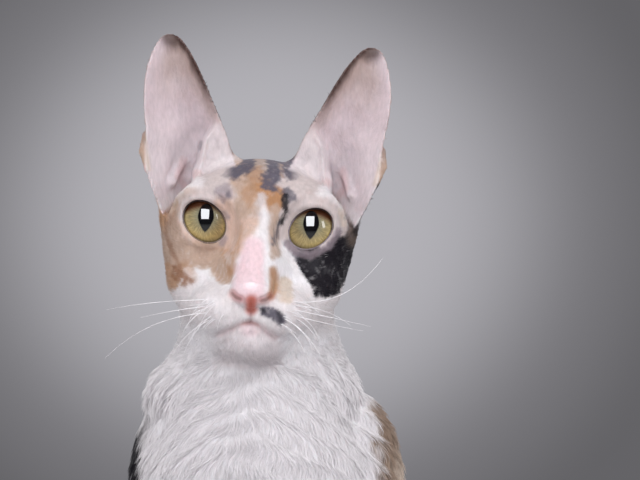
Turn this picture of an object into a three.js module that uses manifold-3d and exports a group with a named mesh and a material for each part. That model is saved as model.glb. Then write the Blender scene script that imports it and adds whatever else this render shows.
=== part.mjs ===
// A sitting rex cat as a still, life-size model. Millimetres, +Z up, and the cat faces -Y.
// Its body is one smooth form made of named masses, and each named part is cut out of that form.
import * as THREE from 'three';
import { mergeVertices } from 'three/addons/utils/BufferGeometryUtils.js';
import Module from 'manifold-3d';

const wasm = await Module();
wasm.setup();

// Driving dimensions
const EYE_LEVEL = 320; // height of the eyes above the floor
const HEAD_FORWARD = 42; // how far the front of the eyes lies ahead of the shoulder line
const HEAD_ROLL = THREE.MathUtils.degToRad(3.9); // the head leans to the cat's left
const EYE_APART = 21.3; // from the middle of the face to the middle of an eye
const EYE_RADIUS = 11.5;
const FACE_HALF_WIDTH = 39;
const SWAY = 0.2; // the hindquarters swing to the cat's left by this share of their distance back
const PAW_APART = 21; // from the middle line to a fore paw
const LEG_RADIUS = 10.5; // of the thin part of a foreleg
const TAIL_ROOT_RADIUS = 10;
const TAIL_TIP_RADIUS = 4;
const GAP = 0.3; // between two parts that touch
const SIDES = [['right', -1], ['left', 1]]; // the cat's own right is on -X

const sway = (y) => SWAY * Math.max(y, 0);

// Vectors as plain arrays
const plus = (a, b) => [a[0] + b[0], a[1] + b[1], a[2] + b[2]];
const minus = (a, b) => [a[0] - b[0], a[1] - b[1], a[2] - b[2]];
const times = (a, s) => [a[0] * s, a[1] * s, a[2] * s];
const dot = (a, b) => a[0] * b[0] + a[1] * b[1] + a[2] * b[2];
const cross = (a, b) => [a[1] * b[2] - a[2] * b[1], a[2] * b[0] - a[0] * b[2], a[0] * b[1] - a[1] * b[0]];
const unit = (a) => times(a, 1 / Math.hypot(...a));
const mix = (a, b, t) => a + (b - a) * t;
const between = (a, b, t) => [mix(a[0], b[0], t), mix(a[1], b[1], t), mix(a[2], b[2], t)];

// A mass is a function of a point that gives about how far the point is outside it, and the width
// over which it melts into its neighbours. An egg is an ellipsoid, tilted about X.
function egg(centre, radii, melt, tilt = 0) {
  const angle = THREE.MathUtils.degToRad(tilt);
  const c = Math.cos(angle);
  const s = Math.sin(angle);
  const far = (p) => {
    const x = p[0] - centre[0];
    const y = p[1] - centre[1];
    const z = p[2] - centre[2];
    const v = [x / radii[0], (y * c + z * s) / radii[1], (z * c - y * s) / radii[2]];
    const k = Math.hypot(...v);
    if (k < 1e-6) return -Math.min(...radii);
    return k * (k - 1) / Math.hypot(v[0] / radii[0], v[1] / radii[1], v[2] / radii[2]);
  };
  return { far, melt };
}

// A bone is a round limb from a to b whose radius goes from ra to rb.
function bone(a, b, ra, rb, melt) {
  const along = minus(b, a);
  const length2 = dot(along, along);
  const far = (p) => {
    const t = THREE.MathUtils.clamp(dot(minus(p, a), along) / length2, 0, 1);
    return Math.hypot(...minus(p, between(a, b, t))) - mix(ra, rb, t);
  };
  return { far, melt };
}

const melted = (a, b, k) => {
  const h = Math.max(k - Math.abs(a - b), 0) / k;
  return Math.min(a, b) - h * h * k / 4;
};
const form = (masses) => (p) => masses.reduce((d, m) => melted(d, m.far(p), m.melt), 1e3);
const onBothSides = (make) => SIDES.flatMap(([, side]) => make(side));

// Head, in its own frame: the origin is midway between the fronts of the eyes, +Z runs up the face.
const cheek = FACE_HALF_WIDTH;
const HEAD_MASSES = [
  egg([0, 35, 1], [33, 38, 27.5], 8), // skull
  egg([0, 15, 10], [25, 17, 16], 8), // forehead
  ...onBothSides((s) => [
    egg([s * (cheek - 14), 24, -8], [14, 23, 20], 8), // cheekbone
    egg([s * (cheek - 18), 14, -25], [14, 18, 12], 8), // jowl
    egg([s * EYE_APART, EYE_RADIUS, 0.4], [13, 13, 13], 5), // lids
    egg([s * 21, 8, 10], [13, 10, 7.5], 6), // brow
    egg([s * 29, 30, 7], [12, 15, 14], 10), // ear root
  ]),
  bone([0, 3, 6], [0, -16.5, -21.5], 9.5, 7.4, 6), // bridge of the nose
  egg([0, 2, -18], [16, 18, 15], 7), // flanks of the nose
  egg([0, -19.5, -25.5], [9.3, 7, 7.2], 3), // tip of the nose
  egg([0, -4, -31], [15, 15, 12], 5), // muzzle
  ...onBothSides((s) => [egg([s * 16, 6, -31], [12, 15, 11], 7)]), // behind the whisker pad
  ...onBothSides((s) => [egg([s * 11.5, -9, -34], [13.2, 13, 10.5], 4)]), // whisker pad
  egg([0, -6.5, -45.5], [12.5, 10.5, 8.8], 4), // chin
  ...onBothSides((s) => [bone([s * 8, 0, -43], [s * 20, 30, -32], 9, 11, 8)]), // jaw
  bone([0, 18, -34], [0, 42, -48], 17, 27, 12), // throat
];
// At the inner corners of the eyes.
const HEAD_HOLLOWS = onBothSides((s) => [egg([s * 16.5, -5, -3], [7, 8, 9.5], 6)]);
const fullHead = form(HEAD_MASSES);
const headForm = (p) => HEAD_HOLLOWS.reduce((d, m) => -melted(-d, m.far(p), m.melt), fullHead(p));

const rollCos = Math.cos(HEAD_ROLL);
const rollSin = Math.sin(HEAD_ROLL);
const fromHead = ([x, y, z]) => [
  x * rollCos + z * rollSin,
  y - HEAD_FORWARD,
  z * rollCos - x * rollSin + EYE_LEVEL,
];
const toHead = ([x, y, z]) => {
  const up = z - EYE_LEVEL;
  return [x * rollCos - up * rollSin, y + HEAD_FORWARD, up * rollCos + x * rollSin];
};

// Trunk with shoulders and haunches, in the cat's frame: the floor is z = 0, the shoulders are near y = 0.
const TRUNK_MASSES = [
  bone([0, 10, 292], [0, 12, 240], 29, 37, 14), // neck
  bone([0, -4, 260], [0, -10, 222], 35, 41, 14), // bib
  ...onBothSides((s) => [egg([s * 24 - 3, 4, 251], [22, 26, 17], 10)]), // ruff
  egg([0, -12, 204], [46, 36, 46], 14), // breast
  egg([2, 4, 168], [26, 32, 36], 14), // brisket
  bone([4, 20, 212], [16, 80, 150], 42, 47, 16), // ribs
  bone([8, 38, 234], [20, 98, 176], 32, 38, 16), // back
  ...onBothSides((s) => [
    egg([s * 40 + 2.5, 12, 206], [20, 28, 44], 12), // shoulder
    bone([s * 38 + 2, -2, 184], [s * 34, 18, 134], 21, 17, 12), // upper arm
  ]),
  egg([12, 60, 122], [36, 42, 36], 16), // belly
  bone([20, 98, 150], [28, 140, 94], 45, 46, 16), // loin
  egg([30, 150, 54], [45, 46, 62], 16), // rump
  ...onBothSides((s) => [
    egg([sway(110) + s * 41, 110, 61], [25, 53, 48], 12, -12), // haunch
    egg([sway(66) + s * 50, 66, 62], [19, 25, 26], 12), // knee
  ]),
];

const elbow = (s) => [s * 33.5, 18, 130];
const wrist = (s) => [s * (PAW_APART + 1), -5, 42];
const hock = (s) => [sway(134) + s * 46, 134, 15];
const hindToe = (s) => [sway(44) + s * 51, 44, 12];
const TOE_STEPS = [-1.5, -0.5, 0.5, 1.5];
const TOE_APART = 6.2;

// Four toes side by side at the front of a paw whose middle is at the given point.
const toes = ([x, y, z]) => TOE_STEPS.map(
  (t) => egg([x + t * TOE_APART, y + 1.6 * Math.abs(t), z], [4.3, 8.5, 7.6], 2.5),
);

const LIMB_MASSES = [
  ...onBothSides((s) => [
    bone(elbow(s), wrist(s), 15.5, LEG_RADIUS, 10), // forearm
    bone(wrist(s), [s * PAW_APART, -10, 18], LEG_RADIUS, 11, 6), // pastern
    egg([s * PAW_APART, -18, 11], [13.6, 19, 12.5], 5), // fore paw
    ...toes([s * PAW_APART, -32, 7]),
    bone([sway(64) + s * 52, 62, 50], hock(s), 17, 12, 8), // shin
    bone(hock(s), hindToe(s), 11.5, 11.5, 6), // hind foot
    egg([sway(38) + s * 51, 38, 11], [13.6, 19, 12], 5), // hind paw
    ...toes([sway(24) + s * 51, 24, 7]),
  ]),
];

// The tail lies on the floor round the cat's right side.
const tailLine = new THREE.CatmullRomCurve3([
  new THREE.Vector3(30, 176, 34),
  new THREE.Vector3(27, 204, 17),
  new THREE.Vector3(4, 220, 9),
  new THREE.Vector3(-30, 208, 8.2),
  new THREE.Vector3(-56, 172, 7.6),
  new THREE.Vector3(-69, 126, 6.8),
  new THREE.Vector3(-75, 80, 5.6),
  new THREE.Vector3(-74, 38, 4.2),
]);
const TAIL_STEPS = 22;
const tailRadius = (t) => mix(TAIL_ROOT_RADIUS, TAIL_TIP_RADIUS, Math.pow(t, 1.1));
const tailPoint = (t) => tailLine.getPoint(t).toArray();
const TAIL_MASSES = Array.from({ length: TAIL_STEPS }, (_, i) => {
  const [t, u] = [i / TAIL_STEPS, (i + 1) / TAIL_STEPS];
  return bone(tailPoint(t), tailPoint(u), tailRadius(t), tailRadius(u), 1.5);
});

const trunkForm = form(TRUNK_MASSES);
const limbForm = form(LIMB_MASSES);
const tailForm = form(TAIL_MASSES);
const NECK_MELT = 12;
const LIMB_MELT = 7;
const TAIL_MELT = 3;
const headAndTrunk = (p) => melted(headForm(toHead(p)), trunkForm(p), NECK_MELT);
const bodyForm = (p) => melted(headAndTrunk(p), limbForm(p), LIMB_MELT);
const wholeForm = (p) => melted(bodyForm(p), tailForm(p), TAIL_MELT);

// The place where a ray that starts inside a form comes out of it, or the end of its reach.
const MARCH_STEP = 1.6;
const HALVINGS = 14;
function wayOut(shape, start, way, reach, level) {
  let inside = 0;
  let outside = 0;
  while (outside < reach) {
    outside = Math.min(outside + MARCH_STEP, reach);
    if (shape(plus(start, times(way, outside))) > level) break;
    inside = outside;
  }
  if (inside === outside) return plus(start, times(way, reach));
  for (let i = 0; i < HALVINGS; i += 1) {
    const middle = (inside + outside) / 2;
    if (shape(plus(start, times(way, middle))) > level) outside = middle;
    else inside = middle;
  }
  return plus(start, times(way, inside));
}

// A closed solid through rings of points, with its first and last points closing the ends.
function skinned(rings, first, last) {
  const sides = rings[0].length;
  const points = [first, ...rings.flat(), last];
  const faces = [];
  for (let j = 0; j < sides; j += 1) {
    const k = (j + 1) % sides;
    faces.push(0, 1 + k, 1 + j);
    for (let i = 0; i + 1 < rings.length; i += 1) {
      const [a, b] = [1 + i * sides, 1 + (i + 1) * sides];
      faces.push(a + j, a + k, b + k, a + j, b + k, b + j);
    }
    const end = 1 + (rings.length - 1) * sides;
    faces.push(points.length - 1, end + j, end + k);
  }
  return solid(new THREE.BufferGeometry()
    .setAttribute('position', new THREE.Float32BufferAttribute(points.flat(), 3))
    .setIndex(faces));
}

// A closed geometry as a manifold-3d solid, turned outwards.
function solid(geometry) {
  geometry.deleteAttribute('normal');
  geometry.deleteAttribute('uv');
  const merged = mergeVertices(geometry, 1e-4);
  const make = (triVerts) => new wasm.Manifold(new wasm.Mesh({
    numProp: 3,
    vertProperties: new Float32Array(merged.attributes.position.array),
    triVerts,
  }));
  const made = make(new Uint32Array(merged.index.array));
  if (made.volume() > 0) return made;
  return make(new Uint32Array(merged.index.array).reverse());
}

// A solid drawn round a line inside a form: rings of rays go out square to the line.
function wrapped(shape, line, { rings, sides, reach, level = 0, across = [1, 0, 0] }) {
  const curve = new THREE.CatmullRomCurve3(line.map((p) => new THREE.Vector3(...p)));
  const made = [];
  for (let i = 0; i <= rings; i += 1) {
    const start = curve.getPointAt(i / rings).toArray();
    const tangent = curve.getTangentAt(i / rings).toArray();
    const aside = unit(minus(across, times(tangent, dot(across, tangent))));
    const up = cross(tangent, aside);
    made.push(Array.from({ length: sides }, (_, j) => {
      const angle = 2 * Math.PI * j / sides;
      const way = plus(times(aside, Math.cos(angle)), times(up, Math.sin(angle)));
      return wayOut(shape, start, way, reach, level);
    }));
  }
  return skinned(made, line[0], line[line.length - 1]);
}

// A solid drawn round a point inside a form. The rays are closest together round the pole direction.
function burst(shape, centre, pole, { rings, sides, reach, level = 0, crowd = 1 }) {
  const axis = unit(pole);
  const aside = unit(cross(axis, Math.abs(axis[2]) > 0.9 ? [1, 0, 0] : [0, 0, 1]));
  const up = cross(axis, aside);
  const out = (polar, angle) => {
    const flat = plus(times(aside, Math.cos(angle)), times(up, Math.sin(angle)));
    const way = plus(times(axis, Math.cos(polar)), times(flat, Math.sin(polar)));
    return wayOut(shape, centre, way, reach, level);
  };
  const made = [];
  for (let i = 1; i < rings; i += 1) {
    const polar = Math.PI * Math.pow(i / rings, crowd);
    made.push(Array.from({ length: sides }, (_, j) => out(polar, 2 * Math.PI * j / sides)));
  }
  return skinned(made, out(0, 0), out(Math.PI, 0));
}

// Grid lines from low to high. They are fine apart at the focus, and wider by the growth per millimetre
// away from it.
function gridLines(low, high, focus, fine, growth) {
  const lines = [focus];
  while (lines[lines.length - 1] < high) {
    const last = lines[lines.length - 1];
    lines.push(last + fine + growth * (last - focus));
  }
  while (lines[0] > low) lines.unshift(lines[0] - fine - growth * (focus - lines[0]));
  return lines;
}

const PUSHES = 4;
const FEELER = 0.2; // how far apart the shape is felt for its slope

// The nearest place on the surface of a form, for a point that is close to it.
function onto(shape, start) {
  let p = start;
  for (let i = 0; i < PUSHES; i += 1) {
    const far = shape(p);
    const slope = [0, 1, 2].map((axis) => {
      const q = [...p];
      q[axis] += FEELER;
      return (shape(q) - far) / FEELER;
    });
    p = minus(p, times(slope, far / Math.max(dot(slope, slope), 0.2)));
  }
  return p;
}

// Corners that hang together, as the first corner of its cluster for each one. Two are neighbours when
// the square of their distance is within the reach.
function clusters(corners, reach) {
  const heads = corners.map((_, i) => i);
  for (let i = 0; i < corners.length; i += 1) {
    for (let j = 0; j < i; j += 1) {
      const apart = minus(corners[i], corners[j]);
      if (dot(apart, apart) <= reach && heads[i] !== heads[j]) {
        const [keep, drop] = [heads[j], heads[i]];
        heads.forEach((head, k) => { if (head === drop) heads[k] = keep; });
      }
    }
  }
  return heads;
}

// A closed solid over a form. Each cell of a grid that the surface passes through has a point on it for
// each sheet of surface, and the four cells round a crossed edge of the grid make two triangles. The
// frame turns places in the grid into the cat's.
const CORNERS = [0, 1, 2, 3, 4, 5, 6, 7].map((i) => [i & 1, (i >> 1) & 1, (i >> 2) & 1]);
function netted(shape, grid, frame = (p) => p) {
  const counts = grid.map((lines) => lines.length);
  const at = ([i, j, k]) => i + counts[0] * (j + counts[1] * k);
  const placeOf = (node) => frame(node.map((v, axis) => grid[axis][v]));
  const onRim = (node) => node.some((v, axis) => v === 0 || v === counts[axis] - 1);
  const far = new Float32Array(counts[0] * counts[1] * counts[2]);
  const cells = [];
  for (let k = 0; k < counts[2]; k += 1) {
    for (let j = 0; j < counts[1]; j += 1) {
      for (let i = 0; i < counts[0]; i += 1) {
        far[at([i, j, k])] = onRim([i, j, k]) ? 1 : shape(placeOf([i, j, k]));
        if (i && j && k) cells.push([i - 1, j - 1, k - 1]);
      }
    }
  }
  const points = [];
  const pointOf = new Map(); // by cell and crossed edge
  const label = (cell, a, b) => `${at(cell)} ${Math.min(at(a), at(b))} ${Math.max(at(a), at(b))}`;
  for (const cell of cells) {
    const ends = CORNERS.map((corner) => plus(cell, corner));
    const inside = ends.filter((end) => far[at(end)] < 0);
    const outside = ends.filter((end) => far[at(end)] >= 0);
    if (inside.length && outside.length) {
      const innerHeads = clusters(inside, 1);
      const outerHeads = clusters(outside, 2);
      const sheets = new Map();
      inside.forEach((a, i) => outside.forEach((b, j) => {
        const apart = minus(a, b);
        if (dot(apart, apart) !== 1) return;
        const key = 8 * innerHeads[i] + outerHeads[j];
        if (!sheets.has(key)) sheets.set(key, []);
        sheets.get(key).push([a, b]);
      }));
      for (const crossed of sheets.values()) {
        const middle = times(crossed
          .map(([a, b]) => between(placeOf(a), placeOf(b), far[at(a)] / (far[at(a)] - far[at(b)])))
          .reduce(plus), 1 / crossed.length);
        for (const [a, b] of crossed) pointOf.set(label(cell, a, b), points.length);
        points.push(ends.some(onRim) ? middle : onto(shape, middle));
      }
    }
  }
  const faces = [];
  for (const cell of cells) {
    for (let axis = 0; axis < 3; axis += 1) {
      const step = (n) => [0, 1, 2].map((v) => (v === n % 3 ? 1 : 0));
      const next = plus(cell, step(axis));
      const first = far[at(cell)] < 0;
      if (first !== far[at(next)] < 0 && cell[(axis + 1) % 3] > 0 && cell[(axis + 2) % 3] > 0) {
        const [b, c] = [step(axis + 1), step(axis + 2)];
        const [p, q, r, t] = [cell, minus(cell, b), minus(minus(cell, b), c), minus(cell, c)]
          .map((v) => pointOf.get(label(v, cell, next)));
        if (first) faces.push(p, q, r, p, r, t);
        else faces.push(p, r, q, p, t, r);
      }
    }
  }
  return solid(new THREE.BufferGeometry()
    .setAttribute('position', new THREE.Float32BufferAttribute(points.flat(), 3))
    .setIndex(faces));
}

// Cutting tools
const FAR = 900;
const boxOf = (size, centre) => solid(new THREE.BoxGeometry(...size).translate(...centre));
const floorBlock = boxOf([FAR, FAR, FAR], [0, 0, -FAR / 2]);

// All that lies on the side of a plane that its normal points to.
function halfSpace(point, normal) {
  const block = new THREE.BoxGeometry(FAR, FAR, FAR).translate(0, 0, FAR / 2);
  block.applyQuaternion(new THREE.Quaternion().setFromUnitVectors(
    new THREE.Vector3(0, 0, 1),
    new THREE.Vector3(...unit(normal)),
  ));
  return solid(block.translate(...point));
}

// A plane cut: the two half spaces, half a gap back from the plane on either side.
function planeCut(point, normal) {
  const n = unit(normal);
  return {
    above: halfSpace(plus(point, times(n, GAP / 2)), n),
    below: halfSpace(minus(point, times(n, GAP / 2)), times(n, -1)),
  };
}

const ball = (centre, radii, sides = 18, rings = 12) => solid(
  new THREE.SphereGeometry(1, sides, rings).scale(...radii).rotateX(Math.PI / 2).translate(...centre),
);

// Only the largest closed surface of a cut or joined solid stays.
const largest = (s) => s.decompose().reduce((a, b) => (b.volume() > a.volume() ? b : a));

// Where the parts meet
const headCut = planeCut(fromHead([0, 10, -55]), [0, -0.5, 0.866]);
const neckCut = planeCut([0, 0, 236], [0, -0.3, 0.954]);
const foreWristCut = planeCut([0, 0, 32], [0, 0, 1]);

const sleeveForm = (s) => form([
  bone([s * 42 + 3, 0, 204], [s * 36, 16, 136], 31, 20, 2),
  bone([s * 36, 16, 136], [s * PAW_APART, -8, -20], 20, 19, 2),
]);
const sleeve = (s, level) => wrapped(
  sleeveForm(s),
  [[s * 42 + 3, 0, 212 + level], [s * 36, 15, 136], [s * PAW_APART, -8, -12 - level]],
  { rings: 9, sides: 16, reach: 60, level },
);
const haunchForm = (s) => form([
  egg([sway(106) + s * 47, 106, 58], [35, 60, 56], 4),
  egg([sway(66) + s * 54, 64, 58], [28, 34, 36], 8),
]);
const haunchRegion = (s, level) => burst(
  haunchForm(s),
  [sway(104) + s * 47, 104, 58],
  [s, 0, 0],
  { rings: 9, sides: 20, reach: 90, level },
);
const footForm = (s) => form([bone(plus(hock(s), [0, 4, -2]), plus(hindToe(s), [0, -12, -2]), 15, 19, 2)]);
const footRegion = (s, level) => wrapped(
  footForm(s),
  [plus(hock(s), [0, 16 + level, -2]), plus(hindToe(s), [0, -28 - level, -2])],
  { rings: 8, sides: 14, reach: 40, level },
);

// Parts
const HEAD_GRID = [
  gridLines(-52, 52, 0, 3.9, 0.05),
  gridLines(-36, 80, -20, 3.9, 0.07),
  gridLines(-68, 34, -28, 3.9, 0.06),
];
const rawHead = netted(headAndTrunk, HEAD_GRID, fromHead);
const clearHead = netted((p) => headAndTrunk(p) - GAP, HEAD_GRID, fromHead);

const eyeCentre = (s) => fromHead([s * EYE_APART, EYE_RADIUS, 0.4]);
const eyeball = (s, room = 0) => ball(eyeCentre(s), Array(3).fill(EYE_RADIUS + room));

// The opening between the lids, an oval that slants up and out, seen along Y.
const OPENING_LONG = 10.4;
const OPENING_SHORT = 7.7;
const OPENING_SLANT = THREE.MathUtils.degToRad(29);
const OPENING_STEPS = 20;
function openingPoint(s, angle, grow = 0) {
  const long = (OPENING_LONG + grow) * Math.cos(angle);
  const short = (OPENING_SHORT + grow) * Math.sin(angle);
  const [c, k] = [Math.cos(OPENING_SLANT), Math.sin(OPENING_SLANT)];
  return [s * (EYE_APART + 0.1 + long * c - short * k), long * k + short * c];
}
const openingAngles = Array.from({ length: OPENING_STEPS }, (_, i) => 2 * Math.PI * i / OPENING_STEPS);

const OPENING_FLARE = 0.1; // millimetres wider for each millimetre forward, so that the lids thin out
function eyeOpening(s) {
  const ring = (y, grow) => openingAngles.map((a) => {
    const [x, z] = openingPoint(s, a, grow);
    return fromHead([x, y, z]);
  });
  const [front, back] = [-9, EYE_RADIUS - 4];
  const end = (y) => fromHead([s * EYE_APART, y, 0]);
  return skinned([ring(front, OPENING_FLARE * (back - front)), ring(back, 0)], end(front), end(back));
}

// A bead that follows a closed or open line, as a chain of rings.
function bead(line, radius, sides, closed) {
  const curve = new THREE.CatmullRomCurve3(line.map((p) => new THREE.Vector3(...p)), closed);
  const section = new THREE.Shape();
  section.absarc(0, 0, radius, 0, 2 * Math.PI);
  return solid(new THREE.ExtrudeGeometry(section, {
    steps: closed ? line.length : 2 * line.length,
    curveSegments: sides,
    bevelEnabled: false,
    extrudePath: curve,
  }));
}

const LID_BEAD = 1.3;
const LID_PROUD = 1.1; // how far the bead's middle lies off the eyeball
function lidRim(s) {
  const centre = [s * EYE_APART, EYE_RADIUS, 0.4];
  const line = openingAngles.map((a) => {
    const [x, z] = openingPoint(s, a, LID_BEAD);
    const aside = Math.hypot(x - centre[0], z - centre[2]);
    const reach = EYE_RADIUS + LID_PROUD;
    return fromHead([x, centre[1] - Math.sqrt(Math.max(reach * reach - aside * aside, 4)), z]);
  });
  return bead(line, LID_BEAD, 5, true);
}

// A point on the front of the face above given x and z of the head's frame.
const onFace = (x, z) => wayOut(headAndTrunk, fromHead([x, 4, z]), [0, -1, 0], 60, 0);
const MOUTH_LINE = [[-14.5, -44.8], [-12.3, -43.6], [-6.5, -41], [-2.5, -38.8], [0, -38.3]];
const mouthLine = [...MOUTH_LINE, ...MOUTH_LINE.slice(0, -1).reverse().map(([x, z]) => [-x, z])];
const PHILTRUM_LINE = [[0, -32.5], [0, -35.5], [0, -38.6]];

const noseRegion = (room) => ball(fromHead([0, -23, -28.2]), [10 + room, 8 + room, 6 + room], 18, 10);
const nostril = (s) => ball(onFace(s * 4.9, -28.8), [1.9, 2.2, 1.2], 10, 6);

function makeHead() {
  let head = rawHead.intersect(headCut.above);
  for (const [, s] of SIDES) {
    head = head.subtract(eyeOpening(s)).add(lidRim(s)).subtract(eyeball(s, GAP + 0.05));
  }
  head = head.subtract(bead(mouthLine.map(([x, z]) => onFace(x, z)), 0.9, 6, false));
  head = head.subtract(bead(PHILTRUM_LINE.map(([x, z]) => onFace(x, z)), 0.6, 6, false));
  return largest(head.subtract(noseRegion(GAP)));
}

function makeNose() {
  let nose = rawHead.intersect(noseRegion(0));
  for (const [, s] of SIDES) nose = nose.subtract(nostril(s));
  return largest(nose);
}

// Ear: a thin cup between an inner and an outer edge that meet at a round tip.
const EAR_INNER = [
  [8, 26, 18], [12.3, 22, 28], [20, 20, 45], [27, 20.5, 58.5], [33.8, 23.5, 69.3], [40, 26.5, 74.4],
];
const EAR_OUTER = [
  [34, 24, -6], [41.5, 17, 5.4], [49.5, 13.5, 25], [50.8, 15, 44], [50, 20, 60], [45.8, 26, 72.6],
];
const EAR_ROWS = 13;
const EAR_COLUMNS = 9;
const EAR_CUP = 19; // how deep the cup is at its foot
const EAR_THICK = 2.6; // at the foot
const EAR_THIN = 1.3; // at the edges and the tip
const earCurve = (points) => new THREE.CatmullRomCurve3(points.map((p) => new THREE.Vector3(...p)));
const earInner = earCurve(EAR_INNER);
const earOuter = earCurve(EAR_OUTER);

function earMiddle(s, u, v) {
  const [a, b] = [earInner.getPoint(v).toArray(), earOuter.getPoint(v).toArray()];
  const cup = EAR_CUP * Math.pow(1 - v, 0.8) + 1.5;
  const [x, y, z] = between(a, b, (u + 1) / 2);
  return fromHead([s * x, y + cup * (1 - Math.abs(u) ** 2.4), z - 0.15 * cup * (1 - u * u)]);
}

function earPoint(s, u, v, face) {
  const e = 0.01;
  const v0 = Math.min(v, 1 - e);
  const u0 = THREE.MathUtils.clamp(u, -1 + e, 1 - e);
  const across = minus(earMiddle(s, u0 + e, v0), earMiddle(s, u0 - e, v0));
  const along = minus(earMiddle(s, u0, v0 + e), earMiddle(s, u0, v0));
  const normal = times(unit(cross(across, along)), s * face);
  const thick = mix(EAR_THICK, EAR_THIN, Math.max(v, Math.abs(u) ** 3));
  return plus(earMiddle(s, u, v), times(normal, -thick / 2));
}

function earShell(s) {
  const rings = [];
  for (let i = 0; i <= EAR_ROWS; i += 1) {
    const v = i / EAR_ROWS;
    const front = [];
    const back = [];
    for (let j = 0; j <= EAR_COLUMNS; j += 1) {
      const u = mix(-1, 1, j / EAR_COLUMNS);
      front.push(earPoint(s, u, v, 1));
      back.unshift(earPoint(s, u, v, -1));
    }
    rings.push([...front, ...back]);
  }
  const middle = (ring) => times(ring.reduce(plus), 1 / ring.length);
  return skinned(rings, middle(rings[0]), middle(rings[EAR_ROWS]));
}

const makeEar = (s) => largest(earShell(s).subtract(clearHead));

const BODY_GRID = [
  gridLines(-90, 110, 0, 10.6, 0.012),
  gridLines(-70, 240, -10, 11, 0.012),
  gridLines(-20, 330, 280, 8.5, 0.016),
];
const rawBody = netted(bodyForm, BODY_GRID);
const clearBody = netted((p) => bodyForm(p) - GAP, BODY_GRID);
function makeTorso() {
  let torso = rawBody.intersect(neckCut.below);
  for (const [, s] of SIDES) {
    torso = torso.subtract(sleeve(s, GAP)).subtract(haunchRegion(s, GAP)).subtract(footRegion(s, GAP));
  }
  return largest(torso.subtract(floorBlock));
}

const makeNeck = () => largest(rawBody.intersect(neckCut.above).intersect(headCut.below));

const rawForeleg = (s) => wrapped(
  bodyForm,
  [[s * 38, 4, 224], [s * 36, 8, 180], elbow(s), [s * 27, 4, 84], wrist(s), [s * PAW_APART, -8, 24]],
  { rings: 14, sides: 14, reach: 36 },
).intersect(sleeve(s, 0));
const makeForeleg = (s) => largest(rawForeleg(s).intersect(foreWristCut.above));

const makeForepaw = (s) => largest(
  wrapped(bodyForm, [[s * PAW_APART, 4, 15], [s * PAW_APART, -16, 10], [s * PAW_APART, -39, 6]], {
    rings: 11,
    sides: 20,
    reach: 34,
  }).intersect(foreWristCut.below).subtract(floorBlock),
);

const makeThigh = (s) => largest(
  burst(bodyForm, [sway(98) + s * 44, 98, 58], [s, 0, 0], { rings: 11, sides: 20, reach: 84 })
    .intersect(haunchRegion(s, 0))
    .subtract(footRegion(s, GAP))
    .subtract(floorBlock),
);

const makeHindfoot = (s) => largest(
  wrapped(bodyForm, [plus(hock(s), [0, 10, -4]), [sway(90) + s * 49, 90, 10], [sway(26) + s * 51, 17, 6]], {
    rings: 13,
    sides: 14,
    reach: 30,
  }).intersect(footRegion(s, 0)).subtract(floorBlock),
);

// The tail in three lengths, each from a share of the line to another.
const TAIL_LENGTHS = [['base', 0.03, 0.4], ['middle', 0.4, 0.7], ['end', 0.7, 0.985]];
const TAIL_LAP = 0.02; // each length is drawn this much further, then cut square
const tailCut = (share) => planeCut(
  tailLine.getPointAt(share).toArray(),
  tailLine.getTangentAt(share).toArray(),
);
function makeTail(from, to) {
  const last = Math.min(to + TAIL_LAP, TAIL_LENGTHS[2][2]);
  const line = Array.from({ length: 9 }, (_, i) => mix(from - TAIL_LAP, last, i / 8))
    .map((share) => tailLine.getPointAt(Math.max(share, 0)).toArray());
  const tube = wrapped(wholeForm, line, { rings: 12, sides: 10, reach: 16, across: [0, 0, 1] });
  let made = tube.subtract(clearBody).subtract(floorBlock);
  if (from > 0.1) made = made.intersect(tailCut(from).above);
  if (to < 0.9) made = made.intersect(tailCut(to).below);
  return largest(made);
}

// Colours and finishes
const finish = (color, roughness) => new THREE.MeshStandardMaterial({ color, roughness, metalness: 0 });
const WHITE_COAT = finish('#dcd8dc', 0.85);
const CALICO_COAT = finish('#b79a80', 0.85);
const EAR_SKIN = finish('#cdb4b0', 0.6);
const NOSE_SKIN = finish('#dd9c90', 0.5);
const EYE_AMBER = finish('#9c8a44', 0.1);

const cat = new THREE.Group();

function place(name, made, material) {
  const mesh = made.getMesh();
  const geometry = new THREE.BufferGeometry()
    .setAttribute('position', new THREE.BufferAttribute(new Float32Array(mesh.vertProperties), 3))
    .setIndex(new THREE.BufferAttribute(new Uint32Array(mesh.triVerts), 1));
  geometry.computeVertexNormals();
  const part = new THREE.Mesh(geometry, material);
  part.name = name;
  cat.add(part);
}

place('head', makeHead(), CALICO_COAT);
place('nose', makeNose(), NOSE_SKIN);
place('neck', makeNeck(), WHITE_COAT);
place('torso', makeTorso(), CALICO_COAT);
for (const [name, s] of SIDES) {
  place(`eye_${name}`, eyeball(s), EYE_AMBER);
  place(`ear_${name}`, makeEar(s), EAR_SKIN);
  place(`foreleg_${name}`, makeForeleg(s), WHITE_COAT);
  place(`forepaw_${name}`, makeForepaw(s), WHITE_COAT);
  place(`thigh_${name}`, makeThigh(s), CALICO_COAT);
  place(`hindfoot_${name}`, makeHindfoot(s), WHITE_COAT);
}
for (const [name, from, to] of TAIL_LENGTHS) place(`tail_${name}`, makeTail(from, to), CALICO_COAT);

// The origin is on the floor, under the middle of the whole cat.
const bounds = new THREE.Box3().setFromObject(cat);
const middle = bounds.getCenter(new THREE.Vector3());
cat.position.set(-middle.x, -middle.y, -bounds.min.z);

export default cat;
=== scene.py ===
"""A sitting rex cat: skin, coat, eyes, nose, ears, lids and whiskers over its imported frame.

The body is one smooth form made of named masses, as in the part's own source. Sizes are millimetres
in the cat's own frame, where the floor is z = 0 and the cat faces -Y. The head has a frame of its own,
with its origin midway between the fronts of the eyes. Meshes are written in metres, in the row frame.
"""

import logging
import math
from dataclasses import dataclass, field
from enum import Enum
from functools import partial
from typing import Callable, Sequence

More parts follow.
